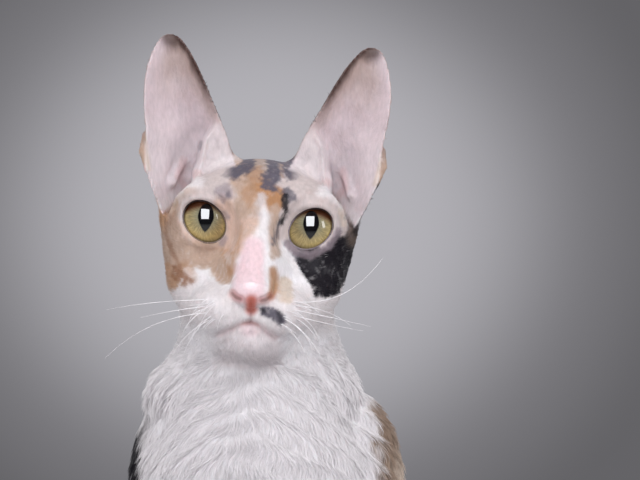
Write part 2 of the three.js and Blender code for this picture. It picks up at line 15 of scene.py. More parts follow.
import bpy
import numpy as np
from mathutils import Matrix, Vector

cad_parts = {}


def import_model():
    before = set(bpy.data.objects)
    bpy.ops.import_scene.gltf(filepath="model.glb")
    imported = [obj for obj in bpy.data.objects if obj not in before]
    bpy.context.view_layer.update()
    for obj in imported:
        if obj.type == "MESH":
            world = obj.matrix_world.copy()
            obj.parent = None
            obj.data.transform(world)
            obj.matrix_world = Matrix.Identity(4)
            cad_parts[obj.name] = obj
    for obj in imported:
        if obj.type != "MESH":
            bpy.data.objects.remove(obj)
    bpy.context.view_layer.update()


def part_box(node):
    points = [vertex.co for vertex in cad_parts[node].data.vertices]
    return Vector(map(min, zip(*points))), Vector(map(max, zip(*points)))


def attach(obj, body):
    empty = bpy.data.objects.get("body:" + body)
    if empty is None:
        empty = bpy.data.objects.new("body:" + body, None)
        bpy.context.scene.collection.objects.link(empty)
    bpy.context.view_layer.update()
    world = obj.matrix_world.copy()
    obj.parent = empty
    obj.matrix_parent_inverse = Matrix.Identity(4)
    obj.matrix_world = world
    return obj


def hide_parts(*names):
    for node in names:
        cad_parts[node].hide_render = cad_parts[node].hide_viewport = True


LOG = logging.getLogger("rex_cat")
MM = 0.001
SEED = 20417
BAKE_MAP = "OFBake"
MARKINGS = "markings"
Array = np.ndarray
Triple = tuple[float, float, float]
Line = tuple[tuple[float, float], ...]
Piece = bpy.types.Object
Tree = bpy.types.NodeTree
Socket = bpy.types.NodeSocket
SIDES = (("right", -1), ("left", 1))


# Places and directions


@dataclass(frozen=True)
class HeadFrame:
    """Where the head sits in the cat: how high, how far forward and how far it leans."""

    eye_level: float = 320.0
    forward: float = 42.0
    roll: float = math.radians(3.9)

    def to_cat(self, p: Array) -> Array:
        """Turns places of the head's frame into the cat's.

        Args:
            p: Places, with x, y and z in the last axis.
        Returns:
            The same places in the cat's frame.
        """
        c, s = math.cos(self.roll), math.sin(self.roll)
        x, y, z = p[..., 0], p[..., 1], p[..., 2]
        return np.stack([x * c + z * s, y - self.forward, z * c - x * s + self.eye_level], -1)

    def split(self, x: Array, y: Array, z: Array) -> tuple[Array, Array, Array]:
        """Turns places of the cat's frame, as three arrays, into the head's."""
        c, s = math.cos(self.roll), math.sin(self.roll)
        up = z - self.eye_level
        return x * c - up * s, y + self.forward, up * c + x * s


HEAD = HeadFrame()
PAD: Line = ((0, -24.5), (5.6, -25.5), (0, -30.5))  # the nose leather's middle, outwards and up
MOUTH: Line = (
    (-12.2, -44.0), (-8.6, -42.4), (-5, -40.6), (-2.2, -39), (0.3, -38.4), (2.8, -39), (5.4, -40.6),
    (8, -42.4), (10.4, -43.8),
)  # the line between the lips, in the head's x and z


def unit(v: Array) -> Array:
    """Scales vectors in the last axis to length one."""
    return v / np.maximum(np.linalg.norm(v, axis=-1, keepdims=True), 1e-9)


def ease(low: float, high: float, v: Array) -> Array:
    """A smooth step from 0 at low to 1 at high."""
    t = np.clip((v - low) / (high - low), 0, 1)
    return t * t * (3 - 2 * t)


def bell(v: Array, width: float) -> Array:
    """A smooth hump of height one round zero."""
    return np.exp(-((v / width) ** 2))


def melted(a: Array, b: Array, k: float) -> Array:
    """The lower of two distances, rounded where they meet over the width k."""
    h = np.maximum(k - np.abs(a - b), 0) / k
    return np.minimum(a, b) - h * h * k / 4


def melted_apart(a: Array, b: Array, k: float) -> Array:
    """The overlap of two forms, with the edge where they meet rounded by about k."""
    return -melted(-a, -b, k)


def ripple(p: Array, size: float, seed: int) -> Array:
    """A soft uneven pattern between about -1 and 1, the same on every run.

    Args:
        p: Places in millimetres.
        size: How wide its humps are.
        seed: Which pattern.
    Returns:
        One value for each place.
    """
    draw = np.random.default_rng(seed)
    total = np.zeros(p.shape[:-1])
    for octave in range(3):
        for _ in range(4):
            way = unit(draw.normal(size=3)) * (2 ** octave) * 2 * math.pi / (1.7 * size)
            total += np.sin(p @ way + draw.uniform(0, 6.3)) / (4 * 1.6 ** octave)
    return total


def near_line(u: Array, v: Array, line: Line) -> Array:
    """How far flat places lie from a broken line through the given points."""
    best = np.full(np.broadcast(u, v).shape, 1e3)
    for (au, av), (bu, bv) in zip(line, line[1:]):
        du, dv = bu - au, bv - av
        t = np.clip(((u - au) * du + (v - av) * dv) / (du * du + dv * dv), 0, 1)
        best = np.minimum(best, np.hypot(u - au - t * du, v - av - t * dv))
    return best


def within(ring: Line, u: Array, v: Array) -> Array:
    """Whether flat places lie inside a closed broken line, whose last point is its first."""
    inside = np.zeros(np.broadcast(u, v).shape, bool)
    for (au, av), (bu, bv) in zip(ring, ring[1:]):
        if av != bv:
            inside ^= ((av > v) != (bv > v)) & (u < au + (v - av) * (bu - au) / (bv - av))
    return inside


def part_of(low: Array, high: Array, x: Array, y: Array, z: Array) -> tuple[tuple, tuple]:
    """The part of a grid or a list of places that lies in a box.

    Args:
        low: The box's lowest corner.
        high: Its highest corner.
        x, y, z: A grid's lines, shaped to broadcast together, or a list's coordinates.
    Returns:
        What cuts the part out of an array of values, and the part's own x, y and z.
    """
    if x.ndim == 3:
        cut = tuple(
            slice(*np.searchsorted(line.ravel(), (low[a], high[a]))) for a, line in enumerate((x, y, z))
        )
        return cut, (x[cut[0]], y[:, cut[1]], z[:, :, cut[2]])
    held = (x > low[0]) & (x < high[0]) & (y > low[1]) & (y < high[1]) & (z > low[2]) & (z < high[2])
    cut = np.nonzero(held)
    return cut, (x[cut], y[cut], z[cut])


# The masses of the body


@dataclass(frozen=True)
class Egg:
    """An ellipsoid, tilted about X by degrees, that melts into what comes before it."""

    centre: Triple
    radii: Triple
    melt: float
    tilt: float = 0.0

    def hull(self) -> tuple[Array, float]:
        """The points that span it and how far it reaches from them."""
        return np.array([self.centre]), max(self.radii)

    def far(self, x: Array, y: Array, z: Array) -> Array:
        """About how far places lie outside it."""
        c, s = math.cos(math.radians(self.tilt)), math.sin(math.radians(self.tilt))
        x, y, z = x - self.centre[0], y - self.centre[1], z - self.centre[2]
        u, v, w = x / self.radii[0], (y * c + z * s) / self.radii[1], (z * c - y * s) / self.radii[2]
        k = np.sqrt(u * u + v * v + w * w)
        steep = np.sqrt((u / self.radii[0]) ** 2 + (v / self.radii[1]) ** 2 + (w / self.radii[2]) ** 2)
        return np.maximum(k, 1e-5) * (k - 1) / np.maximum(steep, 1e-6)


@dataclass(frozen=True)
class Bone:
    """A round limb between two points, whose radius changes evenly."""

    start: Triple
    end: Triple
    start_radius: float
    end_radius: float
    melt: float

    def hull(self) -> tuple[Array, float]:
        """The points that span it and how far it reaches from them."""
        return np.array([self.start, self.end]), max(self.start_radius, self.end_radius)

    def far(self, x: Array, y: Array, z: Array) -> Array:
        """How far places lie outside it."""
        d = np.subtract(self.end, self.start)
        x, y, z = x - self.start[0], y - self.start[1], z - self.start[2]
        t = np.clip((x * d[0] + y * d[1] + z * d[2]) / (d @ d), 0, 1)
        off = np.sqrt((x - t * d[0]) ** 2 + (y - t * d[1]) ** 2 + (z - t * d[2]) ** 2)
        return off - self.start_radius - (self.end_radius - self.start_radius) * t


Mass = Egg | Bone


def both(make: Callable[[int], list[Mass]]) -> list[Mass]:
    """The masses that a function makes for the right side and then the left."""
    return [mass for _, side in SIDES for mass in make(side)]


def curve_through(points: Sequence[Triple], shares: Array) -> Array:
    """Places on a smooth curve through points, at shares of its point count."""
    p = np.array(points, float)
    p = np.vstack([2 * p[0] - p[1], p, 2 * p[-1] - p[-2]])
    at = np.clip(np.asarray(shares, float), 0, 1) * (len(points) - 1)
    i = np.minimum(at.astype(int), len(points) - 2)
    t = (at - i)[..., None]
    a, b, c, d = p[i], p[i + 1], p[i + 2], p[i + 3]
    square, cube = 2 * a - 5 * b + 4 * c - d, 3 * b - a - 3 * c + d
    return 0.5 * (2 * b + (c - a) * t + square * t ** 2 + cube * t ** 3)


@dataclass
class Flesh:
    """The whole body as masses: head, trunk, limbs and tail, melted together."""

    eye_apart: float = 21.3
    eye_radius: float = 11.5
    eye_up: float = 0.4
    cheek: float = 39.0
    sway: float = 0.2
    paw_apart: float = 21.0
    leg_radius: float = 10.5
    toe_apart: float = 6.2
    hind_apart: float = 51.0
    tail_root: float = 10.0
    tail_tip: float = 4.0
    neck_melt: float = 12.0
    limb_melt: float = 7.0
    tail_melt: float = 3.0
    melt_reach: float = 18.0
    tail_line: tuple[Triple, ...] = (
        (30, 176, 34), (27, 204, 17), (4, 220, 9), (-30, 208, 8.2),
        (-56, 172, 7.6), (-69, 126, 6.8), (-75, 80, 5.6), (-74, 38, 4.2),
    )
    head: list[Mass] = field(init=False)
    hollows: list[Mass] = field(init=False)
    trunk: list[Mass] = field(init=False)
    limbs: list[Mass] = field(init=False)
    tail: list[Mass] = field(init=False)

    def __post_init__(self) -> None:
        """Builds the groups of masses, and the hollows beside the nose, from the sizes."""
        self.head = self._head()
        self.hollows = both(lambda s: [Egg((s * 16.5, -5, -3), (7, 8, 9.5), 6)])
        self.trunk = self._trunk()
        self.limbs = self._limbs()
        shares = np.linspace(0, 1, 23)
        spots = curve_through(self.tail_line, shares)
        radii = self.tail_root + (self.tail_tip - self.tail_root) * shares ** 1.1
        self.tail = [
            Bone(tuple(a), tuple(b), ra, rb, 1.5)
            for a, b, ra, rb in zip(spots, spots[1:], radii, radii[1:])
        ]

    def eye_centre(self, side: int) -> Array:
        """The middle of one eyeball in the head's frame."""
        return np.array([side * self.eye_apart, self.eye_radius, self.eye_up])

    def aside(self, y: float) -> float:
        """How far the hindquarters swing to the cat's left at y."""
        return self.sway * max(y, 0.0)

    def _head(self) -> list[Mass]:
        """The masses of the head, in its own frame."""
        c = self.cheek
        return [
            Egg((0, 35, 1), (33, 38, 27.5), 8),  # skull
            Egg((0, 15, 10), (25, 17, 16), 8),  # forehead
            *both(lambda s: [
                Egg((s * (c - 14), 24, -8), (14, 23, 20), 8),  # cheekbone
                Egg((s * (c - 18), 14, -25), (14, 18, 12), 8),  # jowl
                Egg((s * self.eye_apart, self.eye_radius, self.eye_up), (13, 13, 13), 5),  # lids
                Egg((s * 21, 8, 10), (13, 10, 7.5), 6),  # brow
                Egg((s * 29, 30, 7), (12, 15, 14), 10),  # ear root
            ]),
            Bone((0, 3, 6), (0, -16.5, -21.5), 9.5, 7.4, 6),  # bridge of the nose
            Egg((0, 2, -18), (16, 18, 15), 7),  # flanks of the nose
            Egg((0, -19.5, -25.5), (9.3, 7, 7.2), 3),  # tip of the nose
            Egg((0, -4, -31), (15, 15, 12), 5),  # muzzle
            *both(lambda s: [Egg((s * 16, 6, -31), (12, 15, 11), 7)]),  # behind the whisker pad
            *both(lambda s: [Egg((s * 11.5, -9, -34), (13.2, 13, 10.5), 4)]),  # whisker pad
            Egg((0, -6.5, -45.5), (12.5, 10.5, 8.8), 4),  # chin
            *both(lambda s: [Bone((s * 8, 0, -43), (s * 20, 30, -32), 9, 11, 8)]),  # jaw
            Bone((0, 18, -34), (0, 42, -48), 17, 27, 12),  # throat
        ]

    def _trunk(self) -> list[Mass]:
        """The masses of the neck, chest, back, belly, rump and haunches."""
        return [
            Bone((0, 10, 292), (0, 12, 240), 29, 37, 14),  # neck
            Bone((0, -4, 260), (0, -10, 222), 35, 41, 14),  # bib
            *both(lambda s: [Egg((s * 24 - 3, 4, 251), (22, 26, 17), 10)]),  # ruff
            Egg((0, -12, 204), (46, 36, 46), 14),  # breast
            Egg((2, 4, 168), (26, 32, 36), 14),  # brisket
            Bone((4, 20, 212), (16, 80, 150), 42, 47, 16),  # ribs
            Bone((8, 38, 234), (20, 98, 176), 32, 38, 16),  # back
            *both(lambda s: [
                Egg((s * 40 + 2.5, 12, 206), (20, 28, 44), 12),  # shoulder
                Bone((s * 38 + 2, -2, 184), (s * 34, 18, 134), 21, 17, 12),  # upper arm
            ]),
            Egg((12, 60, 122), (36, 42, 36), 16),  # belly
            Bone((20, 98, 150), (28, 140, 94), 45, 46, 16),  # loin
            Egg((30, 150, 54), (45, 46, 62), 16),  # rump
            *both(lambda s: [
                Egg((self.aside(110) + s * 41, 110, 61), (25, 53, 48), 12, -12),  # haunch
                Egg((self.aside(66) + s * 50, 66, 62), (19, 25, 26), 12),  # knee
            ]),
        ]

    def _toes(self, x: float, y: float, z: float) -> list[Mass]:
        """Four toes side by side round the front of a paw."""
        return [
            Egg((x + t * self.toe_apart, y + 1.6 * abs(t), z), (4.3, 8.5, 7.6), 2.5)
            for t in (-1.5, -0.5, 0.5, 1.5)
        ]

    def _limbs(self) -> list[Mass]:
        """The masses of the forelegs and the hind feet."""
        def side(s: int) -> list[Mass]:
            wrist = (s * (self.paw_apart + 1), -5, 42)
            hock = (self.aside(134) + s * 46, 134, 15)
            toe = (self.aside(44) + s * self.hind_apart, 44, 12)
            return [
                Bone((s * 33.5, 18, 130), wrist, 15.5, self.leg_radius, 10),  # forearm
                Bone(wrist, (s * self.paw_apart, -10, 18), self.leg_radius, 11, 6),  # pastern
                Egg((s * self.paw_apart, -18, 11), (13.6, 19, 12.5), 5),  # fore paw
                *self._toes(s * self.paw_apart, -32, 7),
                Bone((self.aside(64) + s * 52, 62, 50), hock, 17, 12, 8),  # shin
                Bone(hock, toe, 11.5, 11.5, 6),  # hind foot
                Egg((self.aside(38) + s * self.hind_apart, 38, 11), (13.6, 19, 12), 5),  # hind paw
                *self._toes(self.aside(24) + s * self.hind_apart, 24, 7),
            ]
        return both(side)

    def far(self, x: Array, y: Array, z: Array, head_only: bool = False) -> Array:
        """About how far places of the cat's frame lie outside the body.

        Args:
            x, y, z: Arrays that broadcast together: a grid's lines or a list of places.
            head_only: Leaves out all but the head, for what only touches the face.
        Returns:
            One distance for each place, negative inside.
        """
        head = self._group(self.head, x, y, z, HEAD)
        for hollow in self.hollows:
            head = -melted(-head, hollow.far(*HEAD.split(x, y, z)), hollow.melt)
        if head_only:
            return head
        body = melted(head, self._group(self.trunk, x, y, z), self.neck_melt)
        body = melted(body, self._group(self.limbs, x, y, z), self.limb_melt)
        return melted(body, self._group(self.tail, x, y, z), self.tail_melt)

    def _group(
        self, masses: list[Mass], x: Array, y: Array, z: Array, frame: HeadFrame | None = None
    ) -> Array:
        """One group of masses, each worked out only where it can matter.

        Args:
            masses: The group.
            x, y, z: Places of the cat's frame.
            frame: The head's frame, where the masses are given in it.
        Returns:
            How far each place lies outside the group.
        """
        out = np.full(np.broadcast(x, y, z).shape, 1e3, np.float32)
        for mass in masses:
            spots, reach = mass.hull()
            spots = frame.to_cat(spots) if frame else spots
            reach += self.melt_reach
            cut, place = part_of(spots.min(0) - reach, spots.max(0) + reach, x, y, z)
            place = frame.split(*place) if frame else place
            out[cut] = melted(out[cut], mass.far(*place), mass.melt)
        return out

    def on_face(self, x: float, z: float, depth: float = 0.0) -> Array:
        """The place on the front of the face above x and z of the head's frame."""
        y = np.arange(-40.0, 30.0, 0.1)
        spots = HEAD.to_cat(np.stack([np.full_like(y, x), y, np.full_like(y, z)], -1))
        far = self.far(*spots.T, head_only=True)
        return spots[int(np.argmax(far < -depth))]


@dataclass
class Ears:
    """Both ears: thin cups that open forwards, with a hollow at the foot of each.

    Places are in the head's frame, with x measured outwards from the middle line. Only low and
    high, the corners of the box that both ears lie in, are in the cat's.
    """

    edge: tuple[Triple, ...] = (
        (4, 28, 4), (8, 26, 18), (12.6, 22, 28), (15.5, 20.6, 36.3), (21.4, 20, 48.2),
        (29.7, 21.5, 64.4), (36.5, 24.5, 73.8), (41.6, 26.5, 76.1), (46, 24.5, 73.4),
        (49.4, 20.5, 64), (50.4, 17, 52), (49, 14.6, 40), (48.0, 13.8, 33), (47.6, 14, 22),
        (45.0, 15, 14), (41, 17.5, 5.2), (36, 22, -4), (33, 26, -14),
    )
    cup: float = 19.0
    foot: float = 4.0
    height: float = 70.0
    thick: float = 2.7
    thin: float = 2.0
    brow: Line = (
        (0, 25), (8, 22.5), (17, 20.4), (24.5, 17.6), (29.7, 13.9), (33.8, 9.2), (38, 2.5), (44, -12),
    )
    flap: Line = ((10, 28.5), (20, 26.6), (33, 24.6), (42, 20), (50, 14), (60, 0))
    root_melt: float = 5.0
    brow_melt: float = 1.6
    tip_height: float = 74.0
    low: Triple = (-64.0, -40.0, 296.0)
    high: Triple = (66.0, 34.0, 402.0)
    inner: Array = field(init=False)
    outer: Array = field(init=False)
    outline: Line = field(init=False)

    def __post_init__(self) -> None:
        """Draws the edge as a smooth line and parts it at the tip."""
        line = curve_through(self.edge, np.linspace(0, 1, 90))
        top = int(line[:, 2].argmax())
        self.inner, self.outer = line[: top + 1], line[top:][::-1]
        self.outline = tuple((x, z) for x, _, z in (*line, line[0]))

    def across(self, z: Array) -> tuple[Array, ...]:
        """The inner edge's x and y and the outer edge's x and y at a height."""
        edges = (self.inner, self.outer)
        return tuple(np.interp(z, edge[:, 2], edge[:, axis]) for edge in edges for axis in (0, 1))

    def middle(self, a: Array, z: Array) -> Array:
        """How far back the middle of the cup's wall lies."""
        inner_x, inner_y, outer_x, outer_y = self.across(z)
        u = np.clip(2 * (a - inner_x) / np.maximum(outer_x - inner_x, 2) - 1, -1, 1)
        deep = self.cup * (1 - np.clip((z - self.foot) / self.height, 0, 1)) ** 0.8 + 1.5
        fold = a - np.interp(z, *zip(*self.flap))
        shallow = ease(47, 36, z) * (1 - ease(-2.2, 2.4, fold))
        wave = 0.35 * np.sin(0.42 * z + 0.2 * a) * ease(10, 24, z) * ease(72, 50, z)
        cup = deep * (1 - np.abs(u) ** 2.4) * (1 - shallow)
        return inner_y + (outer_y - inner_y) * (u + 1) / 2 + cup + wave

    def wall(self, a: Array, y: Array, z: Array) -> tuple[Array, Array]:
        """How far places lie behind the wall's middle, and how far outside the ear's outline."""
        at, step = self.middle(a, z), 0.4
        rise_a, rise_z = self.middle(a + step, z) - at, self.middle(a, z + step) - at
        slope = np.hypot(rise_a / step, rise_z / step)
        aside = near_line(a, z, self.outline)
        aside = np.where(within(self.outline, a, z), -aside, aside)
        return (y - at) / np.hypot(1, np.minimum(slope, 5)), aside

    def inside(self, x: Array, y: Array, z: Array) -> Array:
        """The share of bare inner skin at places of the head's frame: 1 in front of the wall."""
        a = np.abs(x)
        behind, aside = self.wall(a, y, z)
        above = z - np.interp(a, *zip(*self.brow))
        return ease(0.1, -0.35, behind) * ease(0.2, -0.5, aside) * ease(0.5, 3.0, above)

    def shape(self, body: Array, x: Array, y: Array, z: Array) -> Array:
        """Adds the ears to distances of the head and hollows out their feet.

        Args:
            body: How far places lie outside the head.
            x, y, z: The same places in the head's frame.
        Returns:
            The distances with the ears.
        """
        a = np.abs(x)
        behind, aside = self.wall(a, y, z)
        inner_x, _, outer_x, _ = self.across(z)
        u = np.abs(2 * (a - inner_x) / np.maximum(outer_x - inner_x, 2) - 1)
        edge = np.clip(np.maximum(z / self.tip_height, u ** 3), 0, 1)
        thick = self.thick + (self.thin - self.thick) * edge
        shell = -melted(thick / 2 - np.abs(behind), -aside, 0.9)
        body = melted(body, Egg((19, 31, 22), (7, 8, 12), 8).far(a, y, z), 8)
        body = melted(body, shell, self.root_melt)
        floor = np.interp(a, *zip(*self.brow)) - 0.3 * np.clip(y - 8, 0, 18) - z
        fold = np.interp(z, *zip(*self.flap)) - a
        hollow = np.maximum(behind + thick / 2 + 0.6, aside + 1.0)
        hollow = -melted(-melted_apart(hollow, fold, 3.0), -floor, 2)
        body = -melted(-body, hollow, self.brow_melt)
        body = melted(body, Egg((26.8, 27, 19.5), (2.0, 8, 3.4), 1.5).far(a, y, z), 2.5)
        body = melted(body, Bone((33, 33, 26), (36.4, 27, 15), 1.3, 1.5, 2).far(a, y, z), 2.5)
        pouch = Bone((48.6, 15.6, 34), (48.9, 15.0, 27), 1.0, 1.5, 1).far(a, y, z)
        pouch = melted(pouch, Bone((48.9, 15.0, 27), (46.6, 15.6, 19.5), 1.5, 1.0, 1).far(a, y, z), 0.5)
        return melted(body, pouch, 1.2)


# Meshes


def net_surface(far: Array, lines: Sequence[Array]) -> tuple[Array, Array]:
    """A surface of four-sided faces where the values on a grid change sign.

    Args:
        far: The values at the grid's nodes, positive all over its outside.
        lines: The grid's x, y and z lines.
    Returns:
        The points and, for each face, its four point numbers.
    """
    cells = np.array(far.shape) - 1
    strides = np.array([cells[1] * cells[2], cells[2], 1])
    ids, spots, faces = [], [], []
    for axis in range(3):
        low = tuple(slice(0, -1) if a == axis else slice(None) for a in range(3))
        high = tuple(slice(1, None) if a == axis else slice(None) for a in range(3))
        crossed = (far[low] < 0) != (far[high] < 0)
        at = np.argwhere(crossed)
        first, second = far[low][crossed], far[high][crossed]
        spot = np.stack([lines[a][at[:, a]] for a in range(3)], -1).astype(float)
        span = lines[axis][at[:, axis] + 1] - lines[axis][at[:, axis]]
        spot[:, axis] += span * first / (first - second)
        base = at @ strides
        b, c = strides[(axis + 1) % 3], strides[(axis + 2) % 3]
        ring = np.stack([base, base - b, base - b - c, base - c], -1)
        ring[first >= 0] = ring[first >= 0][:, ::-1]
        faces.append(ring)
        ids.append(ring.ravel())
        spots.append(np.repeat(spot, 4, axis=0))
    _, number = np.unique(np.concatenate(ids), return_inverse=True)
    spots = np.concatenate(spots)
    count = np.bincount(number)
    points = np.stack([np.bincount(number, spots[:, a]) / count for a in range(3)], -1)
    return points, number.reshape(-1, 4)


def graded(low: float, high: float, spacing: Sequence[tuple[float, float]]) -> Array:
    """Grid lines from low to high, as far apart as the pairs of place and spacing say."""
    lines = [low]
    while lines[-1] < high:
        lines.append(lines[-1] + float(np.interp(lines[-1], *zip(*spacing))))
    return np.array(lines, np.float32)


def add_object(name: str, data: bpy.types.ID) -> Piece:
    """A new object of the scene, at the origin."""
    made = bpy.data.objects.new(name, data)
    bpy.context.scene.collection.objects.link(made)
    return made


def make_mesh(name: str, points: Array, faces: Array, shift: Array) -> Piece:
    """A smooth mesh object at the origin, in metres of the row frame.

    Args:
        name: The piece's name.
        points: Places in millimetres of the cat's frame.
        faces: Point numbers, three or four to a face.
        shift: The cat's place in the row frame, in millimetres.
    Returns:
        The new object.
    """
    mesh = bpy.data.meshes.new(name)
    size = faces.shape[1]
    mesh.vertices.add(len(points))
    mesh.vertices.foreach_set("co", ((points + shift) * MM).astype(np.float32).ravel())
    mesh.loops.add(faces.size)
    mesh.loops.foreach_set("vertex_index", faces.astype(np.int32).ravel())
    mesh.polygons.add(len(faces))
    mesh.polygons.foreach_set("loop_start", np.arange(0, faces.size, size, dtype=np.int32))
    mesh.polygons.foreach_set("use_smooth", np.full(len(faces), True))
    mesh.update(calc_edges=True)
    mesh.validate()
    return add_object(name, mesh)


def rings_to_faces(rings: int, sides: int, closed: bool = False, caps: bool = False) -> Array:
    """The triangles between rings of points.

    Args:
        rings: How many rings there are.
        sides: How many points each has.
        closed: Whether the last ring joins the first.
        caps: Whether two more points, after the rings, close the first and the last ring.
    Returns:
        Three point numbers for each face.
    """
    faces = []
    for j in range(sides):
        k = (j + 1) % sides
        for i in range(rings if closed else rings - 1):
            a, b = i * sides, (i + 1) % rings * sides
            faces += [(a + j, a + k, b + k), (a + j, b + k, b + j)]
        if caps:
            end = (rings - 1) * sides
            faces += [(rings * sides, k, j), (rings * sides + 1, end + j, end + k)]
    return np.array(faces)


def read(items: bpy.types.bpy_prop_collection, what: str, width: int, kind: type = np.float32) -> Array:
    """One property of all the items of a mesh, as rows of the given width."""
    values = np.empty(width * len(items), kind)
    items.foreach_get(what, values)
    return values.reshape(-1, width)


def soften(piece: Piece, points: Array, faces: Array, upper: Array, soft: Array) -> None:
    """Shades the upper faces of tufts by the skin under them, so that they blend into one coat.

    Args:
        piece: The piece.
        points: Its points.
        faces: Its triangles.
        upper: Whether each triangle faces away from the skin.
        soft: The normal wanted for each triangle.
    """
    a, b, c = (points[faces[:, i]] for i in range(3))
    own = unit(np.cross(b - a, c - a))
    mixed = unit(soft + 0.22 * own)
    good = upper & (np.einsum("ij,ij->i", mixed, own) > 0.05)
    normals = np.where(good[:, None], mixed, own)
    piece.data.normals_split_custom_set(np.repeat(normals, 3, 0))


def outward(points: Array, faces: Array) -> Array:
    """The faces, all turned over if they enclose the body inside out."""
    a, b, c = (points[faces[:, i]] for i in range(3))
    return faces if np.einsum("ij,ij->", a, np.cross(b, c)) > 0 else faces[:, ::-1]


def paint(piece: Piece, colours: Array) -> None:
    """Writes one colour for each point of a piece as its markings."""
    layer = piece.data.attributes.new(MARKINGS, "FLOAT_COLOR", "POINT")
    rgba = np.concatenate([colours, np.ones((len(colours), 1))], 1).astype(np.float32)
    layer.data.foreach_set("color", rgba.ravel())


def hand_in(
    piece: Piece, nodes: Sequence[str], finish: bpy.types.Material | None
) -> None:
    """Dresses a piece, sets it on the cat's body and hides the solids that it replaces.

    Args:
        piece: The piece.
        nodes: The solids that it replaces.
        finish: Its material, or none where it has one already.
    """
    if finish:
        piece.data.materials.clear()
        piece.data.materials.append(finish)
    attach(piece, "root")
    if nodes:
        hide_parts(*nodes)
    LOG.info("%s: %d faces", piece.name, len(piece.data.polygons))


# Colours


class Tone(Enum):
    """The colours of the coat and the bare skin, as linear red, green and blue. The chin's dusky pink
    also stands in for painted shade on and under the chin.
    """

    WHITE = (0.80, 0.765, 0.79)
    CREAM = (0.64, 0.53, 0.45)
    BROW = (0.56, 0.48, 0.475)
    PEACH = (0.60, 0.43, 0.36)
    FAWN = (0.30, 0.215, 0.165)
    # dusky pink of the chin, also laid as painted shade on and under the chin
    CHIN_PINK_AND_SHADE = (0.56, 0.47, 0.48)
    GINGER = (0.43, 0.225, 0.115)
    RUST = (0.25, 0.105, 0.05)
    TAN = (0.48, 0.345, 0.275)
    LILAC = (0.27, 0.22, 0.25)
    SLATE = (0.10, 0.09, 0.12)
    BLACK = (0.010, 0.008, 0.012)
    PINK = (0.76, 0.57, 0.61)
    ROSE = (0.50, 0.115, 0.075)
    LIP = (0.50, 0.29, 0.29)
    EAR_PINK = (0.60, 0.50, 0.53)
    EAR_BROWN = (0.36, 0.265, 0.235)
    UMBER = (0.050, 0.024, 0.020)


@dataclass(frozen=True)
class Patch:
    """A patch of colour on the front of the head: a thick line with an uneven edge."""

    tone: Tone
    line: Line
    radius: float
    soft: float = 2.0
    ragged: float = 3.0
    strength: float = 1.0


@dataclass(frozen=True)
class Blotch:
    """A patch of colour on the body: an ellipsoid with an uneven edge, in the cat's frame."""

    tone: Tone
    centre: Triple
    radii: Triple
    ragged: float = 0.45
    soft: float = 0.10


